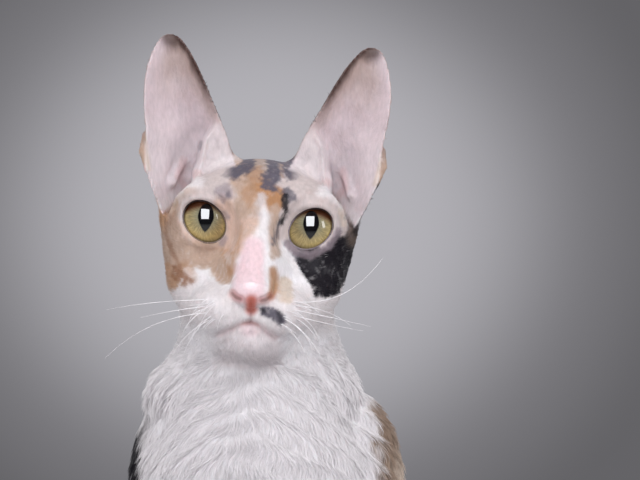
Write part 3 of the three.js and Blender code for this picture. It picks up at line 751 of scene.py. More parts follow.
@dataclass
class Markings:
    """The calico pattern, with some painted shade laid in with it, the same for the skin and every tuft
    of the coat.
    """

    ears: Ears
    face: tuple[Patch, ...] = (
        # brows and the skin round the eyes
        Patch(Tone.PEACH, ((-13, 6), (-8, 2), (-8, -8), (-3, -1)), 5.0, 3, 2),
        Patch(Tone.PEACH, ((-34, -2), (-29, -8), (-21, -11), (-14, -9)), 3.4, 2.5, 2, 0.95),
        Patch(Tone.TAN, ((-36, 8), (-33, 11), (-27, 15)), 3.0, 3, 3, 0.55),
        # the cheek on the cat's right, tan with darker stripes
        Patch(Tone.TAN, ((-37, 5), (-37, -8), (-33, -17)), 5.5, 2, 4),
        Patch(Tone.TAN, ((-32, -13), (-25, -14), (-18, -12.5)), 5.2, 2, 3),
        Patch(Tone.GINGER, ((-36, -19), (-29, -20), (-26, -22)), 3.4, 3, 4, 0.55),
        Patch(Tone.TAN, ((-34, -17), (-32.5, -24)), 4.0, 2, 3.4),
        Patch(Tone.GINGER, ((-35, -20), (-32.5, -26)), 2.2, 2.4, 3, 0.55),
        Patch(Tone.RUST, ((-38, 4), (-37, -6), (-33, -14), (-30, -18)), 0.9, 1.2, 1.5, 0.5),
        Patch(Tone.RUST, ((-34, 3), (-35.5, -2)), 0.8, 1.2, 1.5, 0.4),
        Patch(Tone.RUST, ((-32, -19), (-28, -22), (-24.5, -24)), 1.3, 1.4, 2, 0.75),
        Patch(Tone.RUST, ((-33, -22), (-27, -25.5)), 0.8, 1.2, 2, 0.6),
        # beside the bridge on the cat's right
        Patch(Tone.TAN, ((-14, -16), (-13.5, -19), (-11, -20.5)), 3.6, 1.5, 2),
        Patch(Tone.GINGER, ((-11, -12), (-8.5, -18)), 2.2, 2, 2, 0.6),
        # partly ginger fur and partly painted shade in the crease along the bridge's side
        Patch(Tone.GINGER, ((-6.2, -1), (-7.2, -12), (-9.2, -20.5)), 0.9, 2.2, 1.2, 0.55),
        # forehead
        Patch(Tone.TAN, ((-9, 22), (-5, 14), (-5, 8)), 5.0, 3, 4),
        Patch(Tone.FAWN, ((-3, 27), (-1, 19)), 5.0, 4, 5, 0.75),
        Patch(Tone.GINGER, ((-2, 21), (-2.5, 16), (-3.5, 11)), 3.0, 3, 5, 0.55),
        Patch(Tone.GINGER, ((2, 16), (6, 13), (6, 9)), 3.6, 2, 3),
        Patch(Tone.TAN, ((6.5, 7), (6.4, -4), (8, -11)), 1.9, 1.6, 2, 0.9),
        Patch(Tone.LILAC, ((-15, 13.5), (-13, 10)), 2.3, 1.6, 6, 0.7),
        Patch(Tone.SLATE, ((-12.6, 11.4), (-12, 9.8)), 0.8, 1.2, 2, 0.7),
        Patch(Tone.LILAC, ((-14.5, 4), (-12.8, 2.4)), 1.1, 1.4, 3, 0.7),
        # crown
        Patch(Tone.SLATE, ((-12.5, 20.6), (-9, 21.4), (-5.4, 24.2), (-7, 30)), 2.6, 1.6, 3.4, 0.98),
        Patch(Tone.SLATE, ((4.5, 31), (6, 23), (3.9, 17.6)), 3.9, 1.6, 4.4, 0.97),
        Patch(Tone.SLATE, ((10.5, 30), (12, 22)), 2.9, 1.6, 4, 0.95),
        Patch(Tone.TAN, ((7.5, 24), (8.4, 20)), 0.8, 1.2, 3, 0.6),
        # the dark streak between the forehead and the cat's left eye
        Patch(Tone.SLATE, ((11, 14.6), (13.2, 11.5)), 1.7, 1.4, 4.4, 0.85),
        Patch(Tone.BLACK, ((10.2, 12), (10.9, 6), (9.6, 1.8)), 1.25, 1.0, 2.6, 0.95),
        Patch(Tone.SLATE, ((8.2, 1), (7.6, -2), (7.0, -7)), 0.9, 1.2, 3, 0.75),
        # the cheek on the cat's left, black with white hairs
        Patch(Tone.SLATE, ((15.5, -9.5), (18.5, -13), (21, -16)), 2.4, 1.6, 3, 0.8),
        Patch(Tone.BLACK, ((29, -11), (21, -12), (24, -17), (28.5, -22.5)), 4.7, 1.2, 3),
        Patch(Tone.BLACK, ((34, -7), (34.5, -14), (30, -21)), 5.6, 1.2, 3),
        Patch(Tone.BLACK, ((38, -2), (39, -10)), 3.4, 1.6, 3),
        Patch(
            Tone.LILAC, ((12.4, -6.4), (16, -9.7), (22, -10.6), (29, -6.4), (32.6, 0)),
            1.5, 1.2, 1, 0.85,
        ),
        Patch(Tone.CREAM, ((34, 8), (34.5, 3)), 1.7, 1.6, 3, 0.6),
        Patch(Tone.SLATE, ((36.6, 6), (38, 0)), 1.5, 1.6, 3, 0.8),
        # muzzle
        Patch(Tone.CREAM, ((12.4, -22.5), (13.4, -27)), 2.9, 1.8, 2, 0.9),
        Patch(Tone.GINGER, ((8.0, -18.5), (8.8, -25)), 1.7, 2.4, 1.5, 0.75),
        Patch(Tone.SLATE, ((5.2, -33.4), (9, -33.8), (11.7, -36.4)), 2.1, 1.1, 2.4, 0.95),
        Patch(Tone.BLACK, ((4.4, -32.8), (5.2, -33.4)), 0.9, 1.0, 1, 0.8),
        Patch(Tone.BLACK, ((11, -33.6), (12, -36.4)), 0.8, 1.0, 2, 0.6),
    )
    blaze: tuple[Triple, ...] = ((2.2, 9.5, 0.5), (3.0, 4, 1.1), (2.4, -2, 2.0), (1.0, -8, 4.5))
    bridge: Line = ((-0.6, -9), (-1.3, -17), (-1.0, -25))
    body: tuple[Blotch, ...] = (
        Blotch(Tone.BLACK, (-60, 22, 198), (30, 52, 46)),
        Blotch(Tone.GINGER, (-30, 92, 176), (34, 38, 40)),
        Blotch(Tone.FAWN, (60, 26, 200), (26, 44, 56)),
        Blotch(Tone.CREAM, (57, 8, 192), (9, 14, 30), soft=0.45),
        Blotch(Tone.SLATE, (58, 44, 232), (20, 28, 16)),
        Blotch(Tone.BLACK, (66, 84, 150), (24, 30, 34)),
        Blotch(Tone.BLACK, (24, 66, 224), (30, 38, 30)),
        Blotch(Tone.GINGER, (44, 128, 118), (34, 36, 34)),
        Blotch(Tone.BLACK, (4, 150, 110), (30, 34, 40)),
        Blotch(Tone.GINGER, (-22, 118, 60), (30, 40, 34)),
        Blotch(Tone.BLACK, (72, 104, 62), (24, 30, 30)),
        Blotch(Tone.TAN, (30, 190, 46), (36, 34, 36)),
        Blotch(Tone.BLACK, (0, 22, 300), (34, 30, 34)),
        Blotch(Tone.GINGER, (20, 34, 290), (22, 22, 30)),
        Blotch(Tone.GINGER, (-4, 8, 346), (13, 40, 12)),
        Blotch(Tone.BLACK, (-20, 205, 10), (44, 30, 22)),
        Blotch(Tone.GINGER, (-62, 150, 8), (24, 28, 16)),
        Blotch(Tone.BLACK, (-74, 78, 6), (20, 52, 16)),
    )

    def colours(self, p: Array) -> Array:
        """The coat's colour, with some painted shade, at places of the cat's frame.

        Args:
            p: Places in millimetres.
        Returns:
            Linear red, green and blue for each.
        """
        x, y, z = HEAD.split(*p.T)
        out = np.tile(Tone.WHITE.value, (len(p), 1))
        noise = ripple(p, 34, 3) * 0.6 + ripple(p, 15, 5) * 0.28 + ripple(p, 7, 4) * 0.12
        for blotch in self.body:
            off = np.linalg.norm((p - blotch.centre) / np.array(blotch.radii), axis=1)
            off = off - 1 + blotch.ragged * noise
            self._lay(out, blotch.tone, ease(blotch.soft, -blotch.soft, off))
        wide = np.abs(p[:, 0] + 1.5)
        bib = ease(12, -8, p[:, 1] - 6 + 0.15 * wide) * ease(298, 284, p[:, 2])
        self._lay(out, Tone.WHITE, bib * ease(48.5, 45, wide + 2 * noise))
        # painted shadow under the chin: the throat below it takes the chin's dusky pink
        throat = np.linalg.norm((p - (0, -16, 262)) / (20, 24, 10), axis=1)
        self._lay(out, Tone.CHIN_PINK_AND_SHADE, 0.5 * ease(1.2, 0.6, throat))
        front = ease(34, 26, y)
        self._lay(out, Tone.WHITE, front * ease(-60, -52, z))
        # the chin: partly its own dusky pink and partly painted shade
        chin = 0.45 * front * ease(-37, -43, z) * ease(-60, -56, z)
        self._lay(out, Tone.CHIN_PINK_AND_SHADE, chin * ease(17, 9, np.abs(x)))
        self._lay(out, Tone.BROW, 0.35 * front * ease(-20, -27, z) * ease(-44, -38, z))
        fine = ripple(p, 6, 11) * 0.55 + ripple(p, 2.6, 12) * 0.45
        fleck = 1 - 0.18 * ease(0.1, 0.8, ripple(p * (1, 1, 0.45), 1.5, 13))
        self._lay(out, Tone.BROW, ease(48, 40, y) * ease(-9, -4, z + 2 * fine))
        for patch in self.face:
            off = near_line(x, z, patch.line) - patch.radius + patch.ragged * fine * 0.5
            share = front * patch.strength * ease(0.6 * patch.soft, -0.6 * patch.soft, off)
            self._lay(out, patch.tone, share * fleck)
        middle, level, half = (np.array(row) for row in zip(*self.blaze))
        aside = np.abs(x - np.interp(-z, -level, middle)) - np.interp(-z, -level, half)
        blaze = 0.85 * front * ease(11, 7, z) * ease(1.6, -1.6, aside + 1.3 * fine)
        self._lay(out, Tone.WHITE, blaze * ease(-12, -8, z))
        self._outer_ears(out, x, y, z, fine)
        self._bare(out, x, y, z, fine)
        self._inner_ears(out, x, y, z, fine)
        return np.clip(out * (1 + 0.025 * fine[:, None]), 0.003, 1)

    def _bare(self, out: Array, x: Array, y: Array, z: Array, fine: Array) -> None:
        """Lays the bare pink bridge of the nose, its red rims with painted shade in the nostril slits,
        the lips and the eyes' inner corners.
        """
        width = 4.2 + 0.16 * np.clip(-z - 9, 0, 14)
        bridge = near_line(x, z, self.bridge) - width + 0.7 * fine
        self._lay(out, Tone.PINK, ease(6, -2, y) * ease(1.8, -1.8, bridge))
        tip = ease(4, -4, y)
        flank = near_line(x, z, ((7.6, -17), (8.6, -24), (7.6, -27.4))) - 1.1
        self._lay(out, Tone.GINGER, 0.75 * tip * ease(1.3, -0.6, flank))
        base = near_line(x, z, ((0.2, -29.6), (0.2, -32.8)))
        self._lay(out, Tone.ROSE, 0.95 * tip * ease(3.8, 0.8, base))
        wing = near_line(np.abs(x), z, ((4.2, -29.2), (5.8, -28.8), (7.4, -27.4)))
        self._lay(out, Tone.ROSE, 0.5 * tip * ease(3.0, 0.3, wing))
        # painted shade: dark umber in the core of each nostril slit
        self._lay(out, Tone.UMBER, 0.45 * tip * ease(0.9, 0.3, wing))
        face = ease(12, 2, y)
        mouth = near_line(x, z, MOUTH)
        self._lay(out, Tone.LIP, 0.3 * face * ease(2.2, 0.2, mouth))
        self._lay(out, Tone.ROSE, 0.35 * face * ease(1.1, 0.3, mouth) * ease(5, 2, np.abs(x - 0.3)))
        self._lay(out, Tone.PINK, 0.55 * face * ease(5.5, 1.5, np.hypot(x - 0.3, (z + 41.5) * 1.3)))
        self._lay(out, Tone.LIP, 0.3 * face * ease(2, 0, near_line(x, z, ((0, -34), (0, -38)))))
        corner = near_line(np.abs(x), z, ((12.9, -6), (13.8, -8.2)))
        self._lay(out, Tone.LILAC, 0.65 * face * ease(2.0, 0.6, corner))

    def _outer_ears(self, out: Array, x: Array, y: Array, z: Array, fine: Array) -> None:
        """Lays the dark backs and rims of the ears and the colours at their outer feet."""
        a = np.abs(x)
        inner_x, _, outer_x, _ = self.ears.across(z)
        near = ease(66, 54, y) * ease(4, 12, a)
        back = near * ease(27, 34, z + 3 * fine + 0.4 * (a - 12))
        self._lay(out, Tone.EAR_BROWN, back)
        across = (a - inner_x) / np.maximum(outer_x - inner_x, 4)
        self._lay(out, Tone.UMBER, back * ease(0.75, 0.4, across))
        foot = near * ease(-8, 0, z) * ease(36, 26, z + 3 * fine) * ease(35, 39, a)
        self._lay(out, Tone.TAN, foot)
        self._lay(out, Tone.PINK, 0.6 * foot * (x < 0) * ease(23, 20, z) * ease(7, 11, z))
        self._lay(out, Tone.GINGER, 0.75 * foot * (x < 0) * ease(11, 8, z + 2 * fine))
        self._lay(out, Tone.BLACK, 0.95 * foot * (x > 0) * ease(23, 19, z + 2 * fine))

    def _inner_ears(self, out: Array, x: Array, y: Array, z: Array, fine: Array) -> None:
        """Lays the pink insides of the ears, their brown tips, dark rims and folds, and the flaps'
        greyish walls, partly painted shade.
        """
        a = np.abs(x)
        bare = self.ears.inside(x, y, z)
        inner_x, _, outer_x, _ = self.ears.across(z)
        rim = a - inner_x
        self._lay(out, Tone.EAR_PINK, bare)
        upper = 0.75 * bare * ease(44, 66, z + 4 * fine)
        self._lay(out, Tone.EAR_BROWN, upper * ease(outer_x - 1, outer_x - 9, a))
        self._lay(out, Tone.EAR_BROWN, 0.6 * bare * ease(9, 2, rim + 2 * fine) * ease(33, 46, z))
        dark = ease(4.6, 1.0, rim + 1.3 * fine) * ease(42, 58, z)
        tip = ease(7.5, 2.5, np.hypot(a - 40.5, z - 75)) * 0.8
        self._lay(out, Tone.UMBER, bare * np.maximum(dark, tip))
        # the flap's wall: partly its own greyish fur and partly painted shade, in brow and lilac tones
        front = ease(34, 26, y)
        flap = ease(3.5, -3.5, a - np.interp(z, *zip(*self.ears.flap)))
        flap = flap * ease(12, 18, z) * ease(48, 30, z)
        self._lay(out, Tone.BROW, 0.6 * front * ease(11, 15, a) * flap)
        low = near_line(a, z, ((25, 15.5), (30, 15), (34, 12), (38.5, 6)))
        self._lay(out, Tone.WHITE, 0.75 * front * ease(3.6, 0.8, low + fine))
        self._lay(out, Tone.WHITE, 0.38 * bare * ease(46, 26, z))
        # more painted shade on the flap's wall, in lilac
        self._lay(out, Tone.LILAC, 0.35 * bare * flap * ease(0.0, 0.8, fine))
        fold = near_line(a, z, ((33, 25), (34.4, 18), (31.4, 14)))
        self._lay(out, Tone.ROSE, 0.2 * bare * ease(2.4, 0.6, fold))
        self._lay(out, Tone.ROSE, 0.2 * bare * ease(3.2, 1.2, np.hypot(a - 26.6, z - 19)))
        pouch = near_line(a, z, ((48.6, 33), (47.6, 27), (46, 20)))
        self._lay(out, Tone.CREAM, 0.7 * ease(1.6, 0.3, pouch) * bare)
        fleck = near_line(a, z, ((26, 32.4), (26.4, 30)))
        self._lay(out, Tone.SLATE, 0.5 * bare * (x < 0) * ease(1.3, 0.4, fleck))

    @staticmethod
    def _lay(out: Array, tone: Tone, share: Array) -> None:
        """Lays a tone over colours, by a share for each."""
        out += (np.array(tone.value) - out) * share[:, None]


# Finishes


def link(tree: Tree, start: Socket, end: Socket) -> None:
    """Joins two sockets of a node tree."""
    tree.links.new(start, end)


def new_material(name: str) -> tuple[bpy.types.Material, bpy.types.Node]:
    """A new material and its shader."""
    material = bpy.data.materials.new(name)
    material.use_nodes = True
    return material, material.node_tree.nodes["Principled BSDF"]


def set_inputs(node: bpy.types.Node, values: dict[str, object]) -> None:
    """Sets a node's inputs by their names."""
    for name, value in values.items():
        node.inputs[name].default_value = value


def math_node(tree: Tree, kind: str, *inputs: object) -> Socket:
    """Adds a Math node.

    Args:
        tree: The material's node tree.
        kind: The operation, such as MULTIPLY.
        inputs: Numbers or sockets, in order.
    Returns:
        The node's output socket.
    """
    node = tree.nodes.new("ShaderNodeMath")
    node.operation = kind
    for socket, value in zip(node.inputs, inputs):
        if isinstance(value, Socket):
            link(tree, value, socket)
        else:
            socket.default_value = value
    return node.outputs[0]


def mix_node(tree: Tree, share: object, a: object, b: object, kind: str = "MIX") -> Socket:
    """Adds a colour mix of a and b and returns its result socket."""
    node = tree.nodes.new("ShaderNodeMix")
    node.data_type = "RGBA"
    node.blend_type = kind
    for socket, value in ((node.inputs[0], share), (node.inputs[6], a), (node.inputs[7], b)):
        if isinstance(value, Socket):
            link(tree, value, socket)
        elif isinstance(value, (int, float)):
            socket.default_value = value
        else:
            socket.default_value = (*value, 1.0)
    return node.outputs[2]


def noise_node(tree: Tree, where: Socket, scale: float, detail: float) -> Socket:
    """Adds a noise pattern and returns its value socket."""
    node = tree.nodes.new("ShaderNodeTexNoise")
    set_inputs(node, {"Scale": scale, "Detail": detail})
    link(tree, where, node.inputs["Vector"])
    return node.outputs[0]


def ramp_node(tree: Tree, where: Socket, stops: Sequence[tuple[float, Triple]]) -> Socket:
    """Adds a colour ramp through the given stops and returns its colour socket."""
    node = tree.nodes.new("ShaderNodeValToRGB")
    elements = node.color_ramp.elements
    while len(elements) < len(stops):
        elements.new(0.5)
    for element, (place, colour) in zip(elements, stops):
        element.position = place
        element.color = (*colour, 1.0)
    link(tree, where, node.inputs[0])
    return node.outputs[0]


@dataclass(frozen=True)
class Finish:
    """A surface that takes its colour from a piece's markings, with fine grain and bump."""

    name: str
    roughness: float
    sheen: float = 0.0
    subsurface: float = 0.0
    specular: float = 0.3
    grain: float = 900.0
    grain_share: float = 0.15
    bump: float = 0.1
    bump_scale: float = 1500.0
    bump_depth: float = 0.0006
    stretch: Triple = (1.0, 1.0, 1.0)

    def build(self) -> bpy.types.Material:
        """Makes the material.

        Returns:
            A material that reads the markings attribute and Object coordinates.
        """
        material, shader = new_material(self.name)
        tree = material.node_tree
        colour = tree.nodes.new("ShaderNodeAttribute")
        colour.attribute_name = MARKINGS
        place = tree.nodes.new("ShaderNodeTexCoord").outputs["Object"]
        mapping = tree.nodes.new("ShaderNodeMapping")
        mapping.inputs["Scale"].default_value = self.stretch
        link(tree, place, mapping.inputs["Vector"])
        grain = noise_node(tree, mapping.outputs[0], self.grain, 3)
        low, high = 1 - self.grain_share, 1 + self.grain_share
        shade = ramp_node(tree, grain, ((0.3, (low,) * 3), (0.7, (high,) * 3)))
        shaded = mix_node(tree, 1.0, colour.outputs["Color"], shade, "MULTIPLY")
        link(tree, shaded, shader.inputs["Base Color"])
        bump = tree.nodes.new("ShaderNodeBump")
        set_inputs(bump, {"Strength": self.bump, "Distance": self.bump_depth})
        link(tree, noise_node(tree, mapping.outputs[0], self.bump_scale, 2), bump.inputs["Height"])
        link(tree, bump.outputs[0], shader.inputs["Normal"])
        set_inputs(shader, {
            "Roughness": self.roughness, "Specular IOR Level": self.specular,
            "Sheen Weight": self.sheen, "Sheen Roughness": 0.4,
            "Subsurface Weight": self.subsurface, "Subsurface Scale": 0.004,
            "Subsurface Radius": (1.0, 0.45, 0.35),
        })
        return material

    def shared(self) -> bpy.types.Material:
        """The material, made the first time that it is asked for."""
        return bpy.data.materials.get(self.name) or self.build()


SKIN = Finish(
    "rex_skin", 0.62, sheen=0.1, subsurface=0.12, specular=0.08, bump=0.4, grain=650,
    grain_share=0.08, stretch=(1, 1, 0.4),
)
COAT = Finish("rex_coat", 0.62, sheen=0.12, specular=0.04, grain=260, grain_share=0.05, bump=0.0)
NOSE = Finish(
    "nose_leather", 0.42, subsurface=0.2, specular=0.4, grain=1200, grain_share=0.05, bump=0.2,
    bump_scale=2600,
)
LID = Finish("lid_rim", 0.45, specular=0.3, grain=800, bump=0.15)
WHISKER = Finish("whisker", 0.3, specular=0.5, bump=0.0, grain_share=0.02)


@dataclass(frozen=True)
class EyeFinish:
    """The wet eye: an amber iris with fine fibres and a dark upright pupil, with painted shadow of the
    upper lid over the iris's top and painted brightening lower down.
    """

    iris: float = 13.6
    pupil: tuple[float, float] = (3.18, 5.75)
    inner: Triple = (0.255, 0.245, 0.17)
    middle: Triple = (0.33, 0.27, 0.14)
    gold: Triple = (0.53, 0.41, 0.17)
    rim: Triple = (0.06, 0.03, 0.015)
    # the colour of the painted shadow of the upper lid on the iris
    shade: Triple = (0.105, 0.035, 0.014)
    white: Triple = (0.09, 0.06, 0.05)
    black: Triple = (0.002, 0.002, 0.003)

    def build(self, name: str, centre: Array, gaze: Array) -> bpy.types.Material:
        """Makes the material of one eye.

        Args:
            name: The material's name.
            centre: The middle of the eyeball, in metres of the row frame.
            gaze: The unit direction that the eye looks in.
        Returns:
            A material that reads Object coordinates.
        """
        material, shader = new_material(name)
        tree = material.node_tree
        do = partial(math_node, tree)
        place = tree.nodes.new("ShaderNodeTexCoord").outputs["Object"]
        mapping = tree.nodes.new("ShaderNodeMapping")
        mapping.vector_type = "TEXTURE"
        turn = (math.asin(-gaze[2]), HEAD.roll, math.atan2(gaze[0], -gaze[1]))
        set_inputs(mapping, {"Location": tuple(centre), "Rotation": turn, "Scale": (MM, MM, MM)})
        link(tree, place, mapping.inputs["Vector"])
        parts = tree.nodes.new("ShaderNodeSeparateXYZ")
        link(tree, mapping.outputs[0], parts.inputs[0])
        x, z = parts.outputs[0], parts.outputs[2]
        off = do("SQRT", do("ADD", do("MULTIPLY", x, x), do("MULTIPLY", z, z)))
        angle = do("ARCTAN2", z, x)
        fibre_place = tree.nodes.new("ShaderNodeCombineXYZ")
        for socket, value in zip(fibre_place.inputs, (
            do("MULTIPLY", do("SINE", angle), 9.0),
            do("MULTIPLY", do("COSINE", angle), 9.0),
            do("MULTIPLY", off, 0.35),
        )):
            link(tree, value, socket)
        fibres = noise_node(tree, fibre_place.outputs[0], 1.6, 6)
        share = do("DIVIDE", off, self.iris)
        warped = do("ADD", share, do("MULTIPLY", do("SUBTRACT", fibres, 0.5), 0.22))
        # painted light: lower down, the iris shifts towards gold, a painted brightening of its bottom
        lower = do("MULTIPLY_ADD", z, -0.022, warped)
        iris = ramp_node(tree, lower, (
            (0.22, self.inner), (0.46, self.middle), (0.74, self.gold), (0.96, self.middle),
            (1.0, self.rim),
        ))
        dark = ramp_node(tree, fibres, ((0.3, (0.72, 0.72, 0.72)), (0.7, (1.15, 1.15, 1.15))))
        iris = mix_node(tree, 1.0, iris, dark, "MULTIPLY")
        # painted shadow of the upper lid: the top of the iris is mixed towards the shade colour
        lid_shadow_rise = do("MULTIPLY_ADD", do("MULTIPLY", x, x), 0.035, z)
        top = do("SUBTRACT", do("MULTIPLY", lid_shadow_rise, 0.42), 1.15)
        top = do("MINIMUM", do("MAXIMUM", top, 0.0), 1.0)
        iris = mix_node(tree, top, iris, self.shade)
        outside = do("MULTIPLY", do("SUBTRACT", off, self.iris), 1.6)
        outside = do("SMOOTH_MIN", do("MAXIMUM", outside, 0.0), 1.0, 0.2)
        ball = mix_node(tree, outside, iris, self.white)
        sharp = do("MULTIPLY_ADD", do("SIGN", z), 0.32, 1.68)
        wide = do("DIVIDE", do("ABSOLUTE", x), self.pupil[0])
        tall = do("DIVIDE", do("ABSOLUTE", z), self.pupil[1])
        reach = do("ADD", do("POWER", wide, sharp), do("POWER", tall, sharp))
        edge = do("MULTIPLY", do("SUBTRACT", reach, 0.92), 5.0)
        open_share = do("MINIMUM", do("MAXIMUM", edge, 0.0), 1.0)
        link(tree, mix_node(tree, open_share, self.black, ball), shader.inputs["Base Color"])
        set_inputs(shader, {
            "Roughness": 0.35, "Specular IOR Level": 0.0, "Coat Weight": 1.0,
            "Coat Roughness": 0.02, "Coat IOR": 1.5,
        })
        return material


# Pieces


@dataclass
class Skin:
    """The one skin of head, ears, neck, trunk, legs and tail, the coat's depth inside the solids."""

    flesh: Flesh
    ears: Ears
    opening: tuple[float, float] = (9.7, 7.7)
    slant: float = math.radians(40)
    opening_apart: float = 21.4
    opening_level: float = 0.15
    socket_radius: float = 11.8
    most_triangles: int = 194000
    philtrum: Line = ((0.2, -33.6), (0.2, -38))
    pad_edge: Line = ((8.7, -24), (8.9, -28), (6.2, -30.8), (2.2, -33), (0, -34.4))
    brow_creases: Line = ((13, 27), (24, 18))

    def coat_depth(self, x: Array, y: Array, z: Array) -> Array:
        """How deep the coat lies over the skin at places of the cat's frame."""
        hx, hy, hz = HEAD.split(x, y, z)
        face = ease(64, 40, np.sqrt(hx ** 2 + hy ** 2 + (hz + 12) ** 2))
        body = 0.6 + 0.9 * ease(26, 60, z) + 1.2 * ease(110, 170, z)
        body = body + (1.2 - body) * ease(168, 182, y)
        return body + (0.45 - body) * face

    def details(self, x: Array, y: Array, z: Array) -> Array:
        """How far the surface is pushed in at the mouth, the nose, the lids, the brow and the toes."""
        hx, hy, hz = HEAD.split(x, y, z)
        front = ease(14, 4, hy)
        mouth = near_line(hx, hz, MOUTH)
        push = 0.65 * front * bell(mouth, 0.8) * ease(13, 7, np.abs(hx))
        push = push + 0.8 * front * bell(near_line(hx, hz, self.philtrum), 0.8)
        push = push - 0.45 * front * bell(mouth - 2.4, 1.4) * ease(-32, -36, hz)
        push = push + 0.55 * ease(4, -4, hy) * bell(near_line(np.abs(hx), hz, self.pad_edge), 0.8)
        around = self.opening_far(hx, hz)
        eyes = ease(18, 8, hy)
        push = push + 0.55 * eyes * bell(around - 3.4, 0.9) * ease(-1, 4, hz)
        push = push - 0.45 * eyes * bell(around - 1.5, 1.1)
        push = push - 0.35 * eyes * bell(around - 5.6, 1.6) * ease(-1, 4, hz)
        push = push + 0.3 * eyes * bell(around - 3.6, 1.1) * ease(1, -5, hz)
        creases = 0.22 * np.sin(hz * 2.3 + np.abs(hx) * 0.9 + 2 * np.sin(0.3 * hx))
        brow = near_line(np.abs(hx), hz, self.brow_creases)
        push = push + creases * ease(26, 16, hy) * bell(brow, 4)
        furred = ease(22, 34, z) * ease(286, 262, z)
        strength = 0.55 + 0.45 * np.sin(0.09 * x + 0.07 * z + 0.05 * y)
        push = push - 0.30 * furred * np.cos(waves(x, y, z)) * strength
        low = ease(24, 14, z) * ease(2.5, 6, z)
        for _, side in SIDES:
            for gap in (-1, 0, 1):
                step = gap * self.flesh.toe_apart
                fore = bell(x - side * self.flesh.paw_apart - step, 0.9) * ease(-20, -28, y)
                hind_x = x - self.flesh.aside(24) - side * self.flesh.hind_apart - step
                hind = bell(hind_x, 0.9) * ease(36, 28, y) * ease(0, 8, y)
                push = push + 1.1 * low * (fore + hind)
        return push

    def opening_far(self, hx: Array, hz: Array) -> Array:
        """How far places on the face lie outside the opening between the lids."""
        u, v = np.abs(hx) - self.opening_apart, hz - self.opening_level
        c, s = math.cos(self.slant), math.sin(self.slant)
        along, across = u * c + v * s, v * c - u * s
        k = np.hypot(along / self.opening[0], across / self.opening[1])
        return (k - 1) * np.hypot(along, across) / np.maximum(k, 1e-3)

    def opening_at(self, angle: Array, grow: float = 0.0) -> tuple[Array, Array]:
        """The opening's edge at angles round it, as x outwards and z in the head's frame."""
        along = (self.opening[0] + grow) * np.cos(angle)
        across = (self.opening[1] + grow) * np.sin(angle)
        c, s = math.cos(self.slant), math.sin(self.slant)
        x = self.opening_apart + along * c - across * s
        return x, self.opening_level + along * s + across * c

    def far(self, x: Array, y: Array, z: Array) -> Array:
        """How far places lie outside the skin, with the eye openings cut."""
        value = self.flesh.far(x, y, z) + self.coat_depth(x, y, z) + self.details(x, y, z)
        value = np.array(value, np.float32)
        cut, place = part_of(np.array(self.ears.low), np.array(self.ears.high), x, y, z)
        value[cut] = self.ears.shape(value[cut], *HEAD.split(*place))
        low, high = HEAD.to_cat(np.array([[-38.0, -12, -16], [38, 26, 16]]))
        cut, place = part_of(low, high, x, y, z)
        hx, hy, hz = HEAD.split(*place)
        hole = np.maximum(self.opening_far(hx, hz), hy - 9)
        aside, behind = np.abs(hx) - self.flesh.eye_apart, hy - self.flesh.eye_radius
        ball = np.sqrt(aside ** 2 + behind ** 2 + (hz - self.flesh.eye_up) ** 2) - self.socket_radius
        value[cut] = np.maximum(value[cut], -np.minimum(hole, ball))
        return value

    def surface(self) -> tuple[Array, Array]:
        """The skin's points and faces in the cat's frame."""
        lines = (
            graded(-94, 104, ((-94, 2.9), (-64, 1.9), (-54, 0.95), (-36, 0.85), (36, 0.85),
                              (54, 0.95), (64, 1.9), (104, 2.9))),
            graded(-74, 236, ((-74, 0.75), (-50, 0.75), (-30, 0.95), (36, 0.95), (48, 2.2), (60, 3.0))),
            graded(-5, 400, ((-5, 1.2), (22, 1.4), (40, 2.9), (170, 2.6), (200, 1.9), (258, 1.5),
                             (270, 0.85), (348, 0.85), (400, 0.95))),
        )
        x, y, z = lines[0][:, None, None], lines[1][None, :, None], lines[2][None, None, :]
        value = np.maximum(self.far(x, y, z), 0.35 - z).astype(np.float32)
        for axis in range(3):
            rim = [slice(None)] * 3
            for end in (0, -1):
                rim[axis] = end
                value[tuple(rim)] = 1.0
        points, faces = net_surface(value, lines)
        return points, outward(points, faces)

    def build(self, markings: Markings, shift: Array) -> Piece:
        """Makes the skin's mesh with its markings.

        Args:
            markings: The calico pattern.
            shift: The cat's place in the row frame, in millimetres.
        Returns:
            The skin.
        """
        points, faces = self.surface()
        piece = make_mesh("skin", points, faces, shift)
        self.thin(piece, points, 2 * len(faces))
        place = read(piece.data.vertices, "co", 3)
        paint(piece, markings.colours(place / MM - shift))
        return piece

    def thin(self, piece: Piece, points: Array, triangles: int) -> None:
        """Takes points out of the skin where it is plain, and fewest from the front of the face.

        Args:
            piece: The skin.
            points: Its points in the cat's frame.
            triangles: How many triangles it has.
        """
        x, y, z = HEAD.split(*points.T)
        plain = (y > 30) | (z < -58) | (z > 34) | (np.abs(x) > 40)
        piece.vertex_groups.new(name="plain").add(np.flatnonzero(plain).tolist(), 1.0, "REPLACE")
        fewer = piece.modifiers.new("fewer", "DECIMATE")
        fewer.ratio = self.most_triangles / triangles
        fewer.vertex_group = "plain"
        bpy.context.view_layer.update()
        depsgraph = bpy.context.evaluated_depsgraph_get()
        mesh = bpy.data.meshes.new_from_object(piece.evaluated_get(depsgraph))
        piece.modifiers.clear()
        piece.vertex_groups.clear()
        piece.data = mesh
        mesh.shade_smooth()


